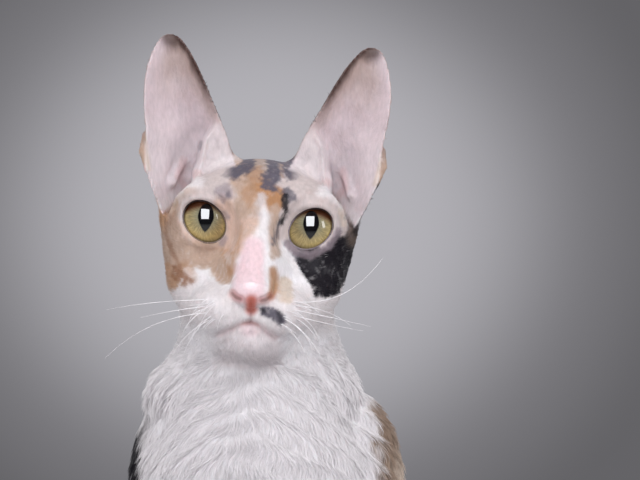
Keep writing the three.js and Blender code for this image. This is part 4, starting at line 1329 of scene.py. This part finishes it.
@dataclass
class Nose:
    """The nose leather with its comma-shaped nostrils. Its edge sinks into the skin all round."""

    skin: Skin
    markings: Markings
    proud: float = 0.18
    step: float = 0.42
    nostril: Line = ((4.2, -29.1), (5.8, -28.7), (7.3, -27.3))
    nostril_depth: float = 2.0
    pad_radius: float = 3.4

    def far(self, x: Array, y: Array, z: Array) -> Array:
        """How far places of the cat's frame lie outside the nose."""
        hx, hy, hz = HEAD.split(x, y, z)
        a = np.abs(hx)
        pad = near_line(a, hz, PAD) - self.pad_radius
        sink = 1.5 * ease(-1.2, 0.9, pad)
        slit = near_line(a, hz, self.nostril)
        deep = self.nostril_depth * bell(slit, 0.95) * ease(8.6, 6.6, a)
        rim = -0.35 * bell(slit - 1.6, 0.9)
        middle = 0.4 * bell(hx, 0.7) * ease(-29, -31, hz)
        value = self.skin.far(x, y, z) - self.proud + sink + deep + rim + middle
        return np.maximum(np.maximum(value, pad - 1.0), hy + 14)

    def build(self, shift: Array) -> Piece:
        """Makes the nose."""
        low, high = HEAD.to_cat(np.array([[-13.0, -30, -38], [13, -12, -19]]))
        lines = [np.arange(low[a] - 1, high[a] + 1, self.step).astype(np.float32) for a in range(3)]
        value = self.far(lines[0][:, None, None], lines[1][None, :, None], lines[2][None, None, :])
        points, faces = net_surface(value.astype(np.float32), lines)
        piece = make_mesh("nose_leather", points, outward(points - points.mean(0), faces), shift)
        paint(piece, self.markings.colours(points))
        hand_in(piece, ["nose"], NOSE.build())
        return piece


def waves(x: Array, y: Array, z: Array) -> Array:
    """The phase of the coat's waves at places of the cat's frame: a turn for each crest."""
    drift = 2.1 * np.sin(0.071 * x + 1.3) + 1.7 * np.sin(0.053 * z - 0.09 * y + 0.4)
    drift = drift + 1.1 * np.sin(0.13 * x - 0.11 * z)
    return 2 * math.pi * (z + 0.35 * np.sqrt(x * x + 9) + 0.6 * y) / 11.5 + drift


def flow(p: Array, n: Array, flesh: Flesh) -> Array:
    """The way that the coat lies, from the nose back over the head and down the body and legs.

    Args:
        p: Places in the cat's frame.
        n: The skin's outward normals there.
        flesh: The body, for its tail and paws.
    Returns:
        Unit directions along the skin.
    """
    nose = HEAD.to_cat(np.array([0.0, -26.0, -25.0]))
    away = unit(p - nose)
    x, y, z = p.T
    back = ease(-0.2, 0.7, n[:, 1]) * ease(90, 150, z)
    body = np.stack([0.10 * x / 40, 0.15 + 0.8 * back + 0.25 * ease(20, 60, y), -np.ones(len(p))], -1)
    whorl = p - np.array([-11.0, -50.0, 248.0])
    swirl = unit(whorl + 0.5 * np.cross(whorl, [0, -1, 0]))
    body = body + 1.6 * swirl * (bell(np.linalg.norm(whorl, axis=1), 26) * ease(10, -10, y))[:, None]
    foot = (ease(30, 18, z) * ease(165, 150, y))[:, None]
    body = body + (np.array([0, -1.0, -0.3]) - body) * foot
    spots = curve_through(flesh.tail_line, np.linspace(0, 1, 60))
    near = np.linalg.norm(p[:, None, :] - spots[None, ::3, :], axis=2)
    which = np.minimum(near.argmin(1) * 3, 58)
    along = unit(spots[which + 1] - spots[which])
    body = body + (along - unit(body)) * (ease(20, 13, near.min(1)) * ease(60, 40, z))[:, None]
    hx, hy, hz = HEAD.split(x, y, z)
    head = ease(78, 54, np.sqrt(hx ** 2 + (hy - 20) ** 2 + (hz + 4) ** 2))[:, None]
    way = unit(body) * (1 - head) + away * head
    return unit(way - n * np.einsum("ij,ij->i", way, n)[:, None])


@dataclass(frozen=True)
class Pelt:
    """How one zone's tufts grow: how many, in how many rings, and their sizes in millimetres.

    The lift is how steeply they rise from the skin, and the wave how far they turn aside with the
    waves of the coat, in radians.
    """

    name: str
    count: int
    rings: int
    length: float
    width: float
    lift: float
    wave: float


def tuft_faces(rings: int) -> tuple[Array, Array]:
    """The triangles of one closed three-sided tuft, and whether each faces away from the skin."""
    faces, upper = [(0, 2, 1)], [False]
    for i in range(rings - 1):
        for k in range(3):
            p, q = 3 * i + k, 3 * i + (k + 1) % 3
            faces += [(p, q, q + 3), (p, q + 3, p + 3)]
            upper += [k != 1] * 2
    tip = 3 * rings
    faces += [(tip - 3 + k, tip - 3 + (k + 1) % 3, tip) for k in range(3)]
    upper += [k != 1 for k in range(3)]
    return np.array(faces), np.array(upper)


@dataclass
class Coat:
    """The short wavy coat as thin tapered tufts, three-sided and closed, over the whole skin."""

    flesh: Flesh
    markings: Markings
    skin: Skin
    pelts: tuple[Pelt, ...] = (
        Pelt("face", 42000, 2, 2.6, 0.28, 0.20, 0.10),
        Pelt("bib", 31000, 3, 6.8, 0.46, 0.24, 0.45),
        Pelt("body", 26000, 3, 7.0, 0.65, 0.20, 0.5),
        Pelt("legs", 14000, 2, 4.0, 0.6, 0.18, 0.2),
    )
    patch: float = 0.003
    unevenness: float = 0.19
    stray_share: float = 0.012
    most_triangles: int = 190000

    def zones(self, p: Array) -> dict[str, Array]:
        """How strongly each place belongs to the face, the bib, the body and the legs."""
        x, y, z = p.T
        hx, hy, hz = HEAD.split(x, y, z)
        face = ease(66, 50, np.sqrt(hx ** 2 + hy ** 2 + (hz + 8) ** 2)) * ease(-58, -50, hz)
        face = np.maximum(face, ease(2, 12, hz))
        legs = np.maximum(ease(112, 100, z) * ease(34, 20, y), ease(34, 22, z))
        bib = (1 - face) * (1 - legs) * ease(20, -6, y)
        body = (1 - face) * (1 - legs) * (1 - bib)
        return {"face": face, "bib": bib, "body": body, "legs": legs * (1 - face)}

    def kept(self, p: Array) -> Array:
        """The share of tufts kept: few or none at the eyes, nose, bridge, mouth and inner ears."""
        hx, hy, hz = HEAD.split(*p.T)
        eye = ease(0.8, 2.6, self.skin.opening_far(hx, hz)) + ease(14, 20, hy)
        pad = near_line(np.abs(hx), hz, PAD)
        nose = ease(4.2, 5.6, pad) + ease(-10, 0, hy)
        bridge = 0.10 + ease(5.5, 8.0, near_line(hx, hz, ((-1, -8), (-1, -22)))) + ease(-2, 8, hy)
        mouth = ease(0.2, 1.3, near_line(hx, hz, MOUTH)) + ease(4, 12, hy)
        keep = 1 - 0.97 * self.markings.ears.inside(hx, hy, hz)
        for part in (eye, nose, bridge, mouth):
            keep = keep * np.clip(part, 0, 1)
        return keep

    def build(self, skin: Piece, shift: Array) -> list[Piece]:
        """Makes the coat's pieces.

        Args:
            skin: The skin, with its unwrap.
            shift: The cat's place in the row frame, in millimetres.
        Returns:
            The pieces, each under 200,000 triangles.
        """
        mesh = skin.data
        mesh.calc_loop_triangles()
        corner = read(mesh.loop_triangles, "vertices", 3, np.int32)
        loop = read(mesh.loop_triangles, "loops", 3, np.int32)
        points = read(mesh.vertices, "co", 3) / MM - shift
        normals = read(mesh.vertices, "normal", 3)
        flat = read(mesh.uv_layers[BAKE_MAP].data, "uv", 2)
        a, b, c = (points[corner[:, i]] for i in range(3))
        area = np.linalg.norm(np.cross(b - a, c - a), axis=1) / 2
        middle = (a + b + c) / 3
        keep = self.kept(middle) * (middle[:, 2] > 1.2)
        draw = np.random.default_rng(SEED)
        made = []
        zones = self.zones(middle)
        for pelt in self.pelts:
            weight = area * zones[pelt.name] * keep
            if pelt.name == "legs":
                weight = weight * (0.5 + 0.5 * ease(60, 20, middle[:, 1]))
            pick = draw.choice(len(corner), pelt.count, p=weight / weight.sum())
            u, v = draw.random(pelt.count), draw.random(pelt.count)
            over = u + v > 1
            u[over], v[over] = 1 - u[over], 1 - v[over]
            share = np.stack([1 - u - v, u, v], -1)[:, :, None]
            root = (points[corner[pick]] * share).sum(1)
            normal = unit((normals[corner[pick]] * share).sum(1))
            spot = (flat[loop[pick]] * share).sum(1)
            made += self.tufts(pelt, root, normal, spot, draw, shift)
        return made

    def tufts(
        self, pelt: Pelt, root: Array, n: Array, spot: Array, draw: np.random.Generator, shift: Array
    ) -> list[Piece]:
        """Makes one zone's tufts, split into pieces.

        Args:
            pelt: How the zone's tufts grow.
            root: Where each tuft is rooted.
            n: The skin's normal there.
            spot: The root's place on the skin's unwrap.
            draw: The seeded random numbers.
            shift: The cat's place in the row frame, in millimetres.
        Returns:
            The pieces.
        """
        many = len(root)
        hx, _, hz = HEAD.split(*root.T)
        way = flow(root, n, self.flesh)
        side = np.cross(n, way)
        length = pelt.length * draw.uniform(0.6, 1.25, many)
        width = pelt.width * draw.uniform(0.7, 1.2, many)
        lift = pelt.lift * draw.uniform(0.5, 1.5, many)
        if pelt.name == "face":
            out = ease(18, 46, np.hypot(hx, hz + 14)) * ease(6, -4, hz)
            length *= 0.55 + 1.1 * out
            width *= 0.8 + 0.35 * out
            lift *= 0.4 + 0.6 * ease(22, 12, hz)
        phase = waves(*root.T)
        turn = pelt.wave * np.sin(phase) + draw.normal(0, 0.15, many)
        way, side = (
            way * np.cos(turn)[:, None] + side * np.sin(turn)[:, None],
            side * np.cos(turn)[:, None] - way * np.sin(turn)[:, None],
        )
        bend = pelt.wave * 0.35 * np.cos(phase) + draw.normal(0, 0.06, many)
        shares = np.arange(pelt.rings + 1) / pelt.rings
        verts = np.empty((many, 3 * pelt.rings + 1, 3))
        for i, t in enumerate(shares):
            spine = (
                root
                + way * (length * t)[:, None]
                + side * (length * bend * math.sin(2.4 * t))[:, None]
                + n * (length * (lift * t - 0.5 * lift * t * t) - 0.25 * (1 - t))[:, None]
            )
            if i == pelt.rings:
                verts[:, -1] = spine
                continue
            thick = width / 2 * (1.0 - 0.55 * t ** 1.5)
            for k in range(3):
                angle = math.pi / 2 + k * 2 * math.pi / 3
                verts[:, 3 * i + k] = spine + (
                    side * (thick * math.cos(angle))[:, None]
                    + n * (thick * 0.7 * math.sin(angle))[:, None]
                )
        lean = 0.25 * np.cos(phase) * pelt.wave + draw.normal(0, self.unevenness, many)
        tilt = draw.normal(0, self.unevenness, many)
        soft = unit(n + way * lean[:, None] + side * tilt[:, None])
        colour = self.markings.colours(root + way * (0.35 * length)[:, None])
        tint = draw.normal(1.0, 0.05, many)[:, None]
        bright = colour.mean(1, keepdims=True)
        stray = (draw.random(many) < self.stray_share)[:, None] & (bright < 0.08)
        colour = np.where(stray, 0.75 * colour + 0.25 * np.array(Tone.WHITE.value), colour)
        colour = np.clip(colour * tint, 0.004, 1)
        verts[..., 2] = np.maximum(verts[..., 2], 0.05)
        local, upper = tuft_faces(pelt.rings)
        height = np.append(np.repeat(shares[:-1], 3), 1.0)
        across = np.append(np.tile((0.5, 0.0, 1.0), pelt.rings), 0.5)
        patch = np.stack([across, height], -1) * self.patch
        made = []
        limit = self.most_triangles // len(local)
        for part, start in enumerate(range(0, many, limit)):
            cut = slice(start, start + limit)
            block = verts[cut]
            size = block.shape[1]
            faces = (local[None] + size * np.arange(len(block))[:, None, None]).reshape(-1, 3)
            points = block.reshape(-1, 3)
            piece = make_mesh(f"coat_{pelt.name}_{part + 1}", points, faces, shift)
            wanted = np.repeat(soft[cut], len(local), 0)
            soften(piece, points, faces, np.tile(upper, len(block)), wanted)
            # painted shade at the roots: each tuft's colour runs from 0.93 at its root to 1.03 at its
            # tip
            painted_root_shade_height = np.repeat(height[None], len(block), 0).reshape(-1, 1)
            paint(piece, np.repeat(colour[cut], size, axis=0) * (0.93 + 0.1 * painted_root_shade_height))
            uv = (spot[cut][:, None, :] + patch[None]).reshape(-1, 2)[faces.ravel()]
            layer = piece.data.uv_layers.new(name=BAKE_MAP)
            layer.data.foreach_set("uv", uv.astype(np.float32).ravel())
            made.append(piece)
        return made


@dataclass
class Eye:
    """One eyeball, a little fuller at the front, that looks just over the camera."""

    name: str
    side: int
    flesh: Flesh
    rings: int = 48
    segments: int = 80
    look_up: float = math.radians(7.5)
    clearance: float = 0.15

    def centre(self) -> Array:
        """The middle of the eyeball in the cat's frame."""
        return HEAD.to_cat(self.flesh.eye_centre(self.side))

    def build(self, shift: Array) -> Piece:
        """Makes the eyeball and its finish.

        Args:
            shift: The cat's place in the row frame, in millimetres.
        Returns:
            The eyeball.
        """
        polar = np.linspace(0, math.pi, self.rings + 1)[1:-1]
        turn = np.linspace(0, 2 * math.pi, self.segments, endpoint=False)
        ring = np.stack([
            np.outer(np.sin(polar), np.cos(turn)),
            np.outer(-np.cos(polar), np.ones_like(turn)),
            np.outer(np.sin(polar), np.sin(turn)),
        ], -1).reshape(-1, 3)
        ball = np.vstack([ring, [0, -1, 0], [0, 1, 0]])
        radius = self.flesh.eye_radius - self.clearance
        points = ball * radius * (1 + 0.012 * ease(0.5, 1.0, -ball[:, 1:2])) + self.centre()
        faces = rings_to_faces(len(polar), self.segments, caps=True)
        faces = outward(points - self.centre(), faces)
        piece = make_mesh(f"eye_{self.name}_ball", points, faces, shift)
        middle = (self.centre() + shift) * MM
        gaze = unit(Camera().place(shift) - middle)
        gaze[2] = math.sin(math.asin(gaze[2]) + self.look_up)
        finish = EyeFinish().build(f"eye_{self.name}_wet", middle, gaze)
        hand_in(piece, [f"eye_{self.name}"], finish)
        return piece


@dataclass
class Lid:
    """The smooth rim of one eye's lids: a closed ring that hugs the eyeball."""

    name: str
    side: int
    skin: Skin
    upper: float = 0.5
    lower: float = 0.3
    lift: float = 0.5
    breadth: float = 1.25
    steps: int = 120
    sides: int = 12

    def build(self, shift: Array) -> Piece:
        """Makes the rim.

        Args:
            shift: The cat's place in the row frame, in millimetres.
        Returns:
            The rim.
        """
        flesh = self.skin.flesh
        centre = flesh.eye_centre(self.side)
        angle = np.linspace(0, 2 * math.pi, self.steps, endpoint=False)
        x, z = self.skin.opening_at(angle, -0.1)
        line = np.stack([self.side * x, np.zeros_like(x), z], -1)
        off = np.hypot(line[:, 0] - centre[0], line[:, 2] - centre[2])
        reach = flesh.eye_radius + self.lift
        line[:, 1] = centre[1] - np.sqrt(np.maximum(reach ** 2 - off ** 2, 9))
        height = ease(-3, 4, line[:, 2] + 0.35 * (x - flesh.eye_apart))
        radius = self.lower + (self.upper - self.lower) * height
        along = unit(np.roll(line, -1, 0) - np.roll(line, 1, 0))
        out = unit(line - centre)
        aside = np.cross(along, out)
        turn = np.linspace(0, 2 * math.pi, self.sides, endpoint=False)
        ring = out[:, None] * np.cos(turn)[None, :, None]
        ring = ring + self.breadth * aside[:, None] * np.sin(turn)[None, :, None]
        points = HEAD.to_cat((line[:, None] + radius[:, None, None] * ring).reshape(-1, 3))
        faces = rings_to_faces(self.steps, self.sides, closed=True)
        faces = outward(points - points.mean(0), faces)
        piece = make_mesh(f"lid_{self.name}", points, faces, shift)
        # the upper rim darker than the lower: partly the lid margin's own dark colour and partly
        # painted shade of the upper lid
        lower = np.array(Tone.LILAC.value) if self.side > 0 else 0.5 * np.array(Tone.TAN.value)
        shade = np.repeat(height[:, None], self.sides, 0)
        paint(piece, lower + (np.array(Tone.UMBER.value) - lower) * shade)
        hand_in(piece, [], LID.shared())
        return piece


@dataclass(frozen=True)
class Hair:
    """One long hair: its root on the face, the way it sets off, its length and how its end bends."""

    root: tuple[float, float]
    way: Triple
    length: float
    bend: Triple
    steps: int = 18

    def line(self, flesh: Flesh) -> Array:
        """Its points in the cat's frame, from just under the skin to the tip."""
        start = flesh.on_face(*self.root, depth=1.2)
        t = np.linspace(0, 1, self.steps)[:, None]
        way, bend = unit(np.array(self.way)), np.array(self.bend)
        return start + self.length * (way * t + bend * t ** 2.4)


@dataclass
class Threads:
    """Draws lines as round closed threads that taper, by one tree of geometry nodes."""

    root_radius: float
    tip_radius: float
    sides: int = 5

    def tree(self) -> Tree:
        """Makes the tree, whose sizes and finish are named inputs."""
        tree = bpy.data.node_groups.new("tapered_threads", "GeometryNodeTree")
        face = tree.interface
        face.new_socket("Geometry", in_out="INPUT", socket_type="NodeSocketGeometry")
        for name in ("Root radius", "Tip radius"):
            face.new_socket(name, in_out="INPUT", socket_type="NodeSocketFloat")
        face.new_socket("Sides", in_out="INPUT", socket_type="NodeSocketInt")
        face.new_socket("Finish", in_out="INPUT", socket_type="NodeSocketMaterial")
        face.new_socket("Geometry", in_out="OUTPUT", socket_type="NodeSocketGeometry")
        kinds = {
            "given": "NodeGroupInput", "curve": "GeometryNodeMeshToCurve",
            "share": "GeometryNodeSplineParameter", "taper": "ShaderNodeMapRange",
            "radius": "GeometryNodeSetCurveRadius", "section": "GeometryNodeCurvePrimitiveCircle",
            "sweep": "GeometryNodeCurveToMesh", "smooth": "GeometryNodeSetShadeSmooth",
            "real": "GeometryNodeRealizeInstances", "finish": "GeometryNodeSetMaterial",
            "made": "NodeGroupOutput",
        }
        nodes = {name: tree.nodes.new(kind) for name, kind in kinds.items()}
        set_inputs(nodes["section"], {"Radius": 1.0})
        set_inputs(nodes["sweep"], {"Fill Caps": True})
        for start, given, end, taken in (
            ("given", "Geometry", "curve", "Mesh"),
            ("curve", "Curve", "radius", "Curve"),
            ("share", "Factor", "taper", "Value"),
            ("given", "Root radius", "taper", "To Min"),
            ("given", "Tip radius", "taper", "To Max"),
            ("taper", "Result", "radius", "Radius"),
            ("given", "Sides", "section", "Resolution"),
            ("radius", "Curve", "sweep", "Curve"),
            ("section", "Curve", "sweep", "Profile Curve"),
            ("taper", "Result", "sweep", "Scale"),
            ("sweep", "Mesh", "smooth", "Geometry"),
            ("smooth", "Geometry", "real", "Geometry"),
            ("real", "Geometry", "finish", "Geometry"),
            ("given", "Finish", "finish", "Material"),
            ("finish", "Geometry", "made", "Geometry"),
        ):
            link(tree, nodes[start].outputs[given], nodes[end].inputs[taken])
        return tree

    def build(self, name: str, lines: Sequence[Array], tone: Tone, shift: Array) -> Piece:
        """Draws the threads.

        Args:
            name: The piece's name.
            lines: The points of each thread, in the cat's frame.
            tone: Their colour.
            shift: The cat's place in the row frame, in millimetres.
        Returns:
            The threads as one plain mesh.
        """
        points = (np.concatenate(lines) + shift) * MM
        starts = np.cumsum([0, *map(len, lines)])
        edges = [(i, i + 1) for a, b in zip(starts, starts[1:]) for i in range(a, b - 1)]
        mesh = bpy.data.meshes.new(f"{name}_lines")
        mesh.from_pydata(points.tolist(), edges, [])
        drawn = add_object(f"{name}_lines", mesh)
        modifier = drawn.modifiers.new("threads", "NODES")
        modifier.node_group = self.tree()
        finish = WHISKER.shared()
        values = {
            "Root radius": self.root_radius * MM, "Tip radius": self.tip_radius * MM,
            "Sides": self.sides, "Finish": finish,
        }
        for item in modifier.node_group.interface.items_tree:
            if item.in_out == "INPUT" and item.name in values:
                modifier[item.identifier] = values[item.name]
        bpy.context.view_layer.update()
        depsgraph = bpy.context.evaluated_depsgraph_get()
        made = bpy.data.meshes.new_from_object(drawn.evaluated_get(depsgraph))
        bpy.data.objects.remove(drawn)
        piece = add_object(name, made)
        paint(piece, np.tile(tone.value, (len(made.vertices), 1)))
        hand_in(piece, [], None)
        return piece


@dataclass
class Whiskers:
    """The whiskers: the few long ones that the photo shows, and short bent ones round them."""

    flesh: Flesh
    long_ones: tuple[Hair, ...] = (
        Hair((-17, -30.5), (-1, -0.10, -0.02), 40, (0, 0.12, -0.08)),
        Hair((-16, -35.5), (-1, -0.12, -0.08), 43, (0.03, 0.18, -0.34)),
        Hair((-17, -33), (-1, -0.20, -0.12), 27, (0, 0.2, -0.05)),
        Hair((-15, -38), (-1, -0.15, -0.45), 20, (0.1, 0.1, -0.35)),
        Hair((-14.5, -36), (-0.9, -0.2, -0.7), 17, (0.1, 0.1, -0.3)),
        Hair((15.5, -29), (1, -0.10, -0.08), 39, (-0.06, 0.2, 0.52)),
        Hair((16, -32), (1, -0.12, -0.20), 32, (0, 0.15, -0.02)),
        Hair((15.5, -34), (1, -0.12, -0.26), 30, (0, 0.15, 0.03)),
        Hair((16.5, -30.5), (1, -0.2, -0.04), 23, (0, 0.2, -0.3)),
        Hair((15, -36.5), (0.8, -0.25, -0.5), 19, (0, 0.15, -0.5)),
        Hair((13.5, -38), (0.75, -0.2, -0.7), 20, (-0.15, 0.1, -0.35)),
    )
    short_count: int = 13

    def build(self, shift: Array) -> Piece:
        """Makes all the whiskers as one piece."""
        draw = np.random.default_rng(SEED + 5)
        hairs = list(self.long_ones)
        for _, side in SIDES:
            for i in range(self.short_count):
                row = i % 4
                root = (side * draw.uniform(9, 18), -29.5 - 2.6 * row + draw.uniform(-0.6, 0.6))
                way = (
                    side * draw.uniform(0.7, 1.0), -draw.uniform(0.15, 0.5),
                    draw.uniform(-0.5, 0.1) - 0.08 * row,
                )
                bend = (
                    side * draw.uniform(-0.3, 0), draw.uniform(0.1, 0.3), draw.uniform(-0.5, 0.2)
                )
                hairs.append(Hair(root, way, draw.uniform(6, 16), bend, steps=10))
        lines = [hair.line(self.flesh) for hair in hairs]
        return Threads(0.16, 0.045).build("whiskers", lines, Tone.WHITE, shift)


@dataclass
class Claws:
    """The tips of the claws, just out of their sheaths at the front of each toe."""

    flesh: Flesh
    length: float = 5.0

    def build(self, shift: Array) -> Piece:
        """Makes all the claws as one piece."""
        lines = []
        t = np.linspace(0, 1, 9)[:, None]
        for _, side in SIDES:
            fore = (side * self.flesh.paw_apart, -32.0, 7.0)
            hind = (self.flesh.aside(24) + side * self.flesh.hind_apart, 24.0, 7.0)
            for paw in (fore, hind):
                for step in (-1.5, -0.5, 0.5, 1.5):
                    start = np.add(paw, (step * self.flesh.toe_apart, 1.6 * abs(step) - 5.6, -1.2))
                    way = np.hstack([0.06 * step * t, -t, -0.15 * t - 0.45 * t ** 2])
                    lines.append(start + self.length * way)
        return Threads(1.0, 0.12, 8).build("claws", lines, Tone.CREAM, shift)


@dataclass
class Camera:
    """The photo's camera, level, a little to the cat's left of its face."""

    aside: float = 25.0
    distance: float = 1100.0
    height: float = 314.2
    view_width: float = 256.0
    sensor: float = 36.0

    def place(self, shift: Array) -> Array:
        """Its place in metres of the row frame."""
        return (np.array([self.aside, -HEAD.forward - self.distance, self.height]) + shift) * MM

    def build(self, shift: Array) -> None:
        """Makes the camera and looks through it."""
        data = bpy.data.cameras.new("photo_camera")
        data.sensor_width = self.sensor
        data.lens = self.sensor * self.distance / self.view_width
        data.clip_start = 0.05
        camera = add_object("photo_camera", data)
        camera.location = Vector(self.place(shift))
        camera.rotation_euler = (math.pi / 2, 0, 0)
        bpy.context.scene.camera = camera


class Seen(Enum):
    """What a light shows in: everything, the gloss alone or all but the gloss."""

    BOTH = "both"
    GLOSS = "gloss"
    DIFFUSE = "diffuse"


@dataclass(frozen=True)
class SoftLight:
    """A rectangular soft light that faces the head."""

    name: str
    azimuth: float
    elevation: float
    distance: float
    width: float
    height: float
    watts: float
    colour: Triple = (1.0, 1.0, 1.0)
    seen: Seen = Seen.BOTH

    def build(self, target: Array) -> None:
        """Hangs the light and turns it to the target.

        Args:
            target: What it faces, in metres.
        """
        a, e = math.radians(self.azimuth), math.radians(self.elevation)
        way = np.array([math.sin(a) * math.cos(e), -math.cos(a) * math.cos(e), math.sin(e)])
        data = bpy.data.lights.new(self.name, "AREA")
        data.shape = "RECTANGLE"
        data.size, data.size_y = self.width, self.height
        data.energy = self.watts
        data.color = self.colour
        light = add_object(self.name, data)
        light.location = Vector(target + way * self.distance)
        light.rotation_euler = Vector(way).to_track_quat("Z", "Y").to_euler()
        light.visible_diffuse = self.seen is not Seen.GLOSS
        light.visible_glossy = self.seen is not Seen.DIFFUSE


@dataclass
class Studio:
    """The floor, the soft lights and the grey backdrop as world light."""

    floor_radius: float = 1.7
    backdrop: Line = (
        (0.0, 0.455), (0.047, 0.452), (0.062, 0.43), (0.076, 0.384), (0.091, 0.311), (0.106, 0.236),
        (0.12, 0.19), (0.135, 0.162), (0.149, 0.136), (0.164, 0.12), (0.4, 0.15), (1.0, 0.11),
    )
    lights: tuple[SoftLight, ...] = (
        SoftLight("key_softbox", -1, 31, 1.1, 0.64, 0.9, 6.7, (0.985, 0.985, 1.0)),
        SoftLight("key_gleam", -1, 31, 1.09, 0.62, 0.88, 34, (0.93, 0.96, 1.0), Seen.GLOSS),
        SoftLight("fill_strip", 57, 14, 1.1, 0.22, 0.5, 3.6),
        SoftLight("right_wash", 60, 14, 1.5, 0.9, 0.9, 3, seen=Seen.DIFFUSE),
        SoftLight("left_wash", -62, 14, 1.5, 0.9, 0.9, 9.5, seen=Seen.DIFFUSE),
        SoftLight("top_wash", 20, 82, 1.3, 1.0, 1.0, 5, seen=Seen.DIFFUSE),
        SoftLight("back_wash", 165, 40, 1.6, 1.0, 0.8, 8, seen=Seen.DIFFUSE),
    )

    def build(self, head: Array) -> None:
        """Makes the floor, the lights and the world.

        Args:
            head: The middle of the face, in metres.
        """
        for light in self.lights:
            light.build(head)
        turn = np.linspace(0, 2 * math.pi, 96, endpoint=False)
        rim = np.stack([np.cos(turn), np.sin(turn), np.zeros_like(turn)], -1) * self.floor_radius / MM
        mesh = bpy.data.meshes.new("floor")
        mesh.from_pydata([tuple(p * MM) for p in rim], [], [tuple(range(len(rim)))])
        floor = add_object("floor", mesh)
        material, shader = new_material("pale_floor")
        set_inputs(shader, {"Base Color": (0.55, 0.55, 0.56, 1), "Roughness": 0.7})
        mesh.materials.append(material)
        self._world()

    def _world(self) -> None:
        """A grey backdrop, brightest behind the head and darker round it."""
        world = bpy.data.worlds.new("grey_backdrop")
        bpy.context.scene.world = world
        world.use_nodes = True
        tree = world.node_tree
        do = partial(math_node, tree)
        place = tree.nodes.new("ShaderNodeTexCoord").outputs["Generated"]
        parts = tree.nodes.new("ShaderNodeSeparateXYZ")
        link(tree, place, parts.inputs[0])
        x = do("ADD", parts.outputs[0], 0.0182)
        z = do("MULTIPLY", do("SUBTRACT", parts.outputs[2], 0.0073), 1.15)
        off = do("SQRT", do("ADD", do("MULTIPLY", x, x), do("MULTIPLY", z, z)))
        behind = do("MULTIPLY_ADD", parts.outputs[1], -0.5, 0.5)
        stops = tuple((off_share, (v, 0.98 * v, 1.05 * v)) for off_share, v in self.backdrop)
        grey = ramp_node(tree, do("ADD", off, behind), stops)
        grey.node.color_ramp.interpolation = "B_SPLINE"
        link(tree, grey, tree.nodes["Background"].inputs[0])
        tree.nodes["Background"].inputs[1].default_value = 1.0


def unwrap(piece: Piece) -> None:
    """Unwraps a piece's own shape into the map named for baking its colours."""
    layer = piece.data.uv_layers.new(name=BAKE_MAP)
    piece.data.uv_layers.active = layer
    bpy.context.view_layer.objects.active = piece
    piece.select_set(True)
    bpy.ops.object.mode_set(mode="EDIT")
    bpy.ops.mesh.select_all(action="SELECT")
    bpy.ops.uv.smart_project(angle_limit=math.radians(66), island_margin=0.002)
    bpy.ops.object.mode_set(mode="OBJECT")
    piece.select_set(False)


def main() -> None:
    """Builds the cat's pieces in order over the frame."""
    logging.basicConfig(level=logging.INFO, format="%(message)s")
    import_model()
    flesh = Flesh()
    markings = Markings(Ears())
    low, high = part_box("eye_right")
    eye = Eye("right", -1, flesh)
    shift = (np.array(low) + np.array(high)) / (2 * MM) - eye.centre()
    LOG.info("the cat's frame lies at %s mm", np.round(shift, 2))
    Camera().build(shift)
    bpy.context.scene.view_settings.view_transform = "Standard"
    Studio().build((HEAD.to_cat(np.array([0.0, 0, -10])) + shift) * MM)

    skin_form = Skin(flesh, markings.ears)
    skin = skin_form.build(markings, shift)
    unwrap(skin)
    for piece in Coat(flesh, markings, skin_form).build(skin, shift):
        hand_in(piece, [], COAT.shared())
    limbs = ("ear", "foreleg", "forepaw", "thigh", "hindfoot")
    hand_in(skin, [
        "head", "neck", "torso", "tail_base", "tail_middle", "tail_end",
        *(f"{part}_{name}" for part in limbs for name, _ in SIDES),
    ], SKIN.build())
    Nose(skin_form, markings).build(shift)
    for name, side in SIDES:
        Eye(name, side, flesh).build(shift)
        Lid(name, side, skin_form).build(shift)
    Whiskers(flesh).build(shift)
    Claws(flesh).build(shift)


if __name__ == "__main__":
    main()
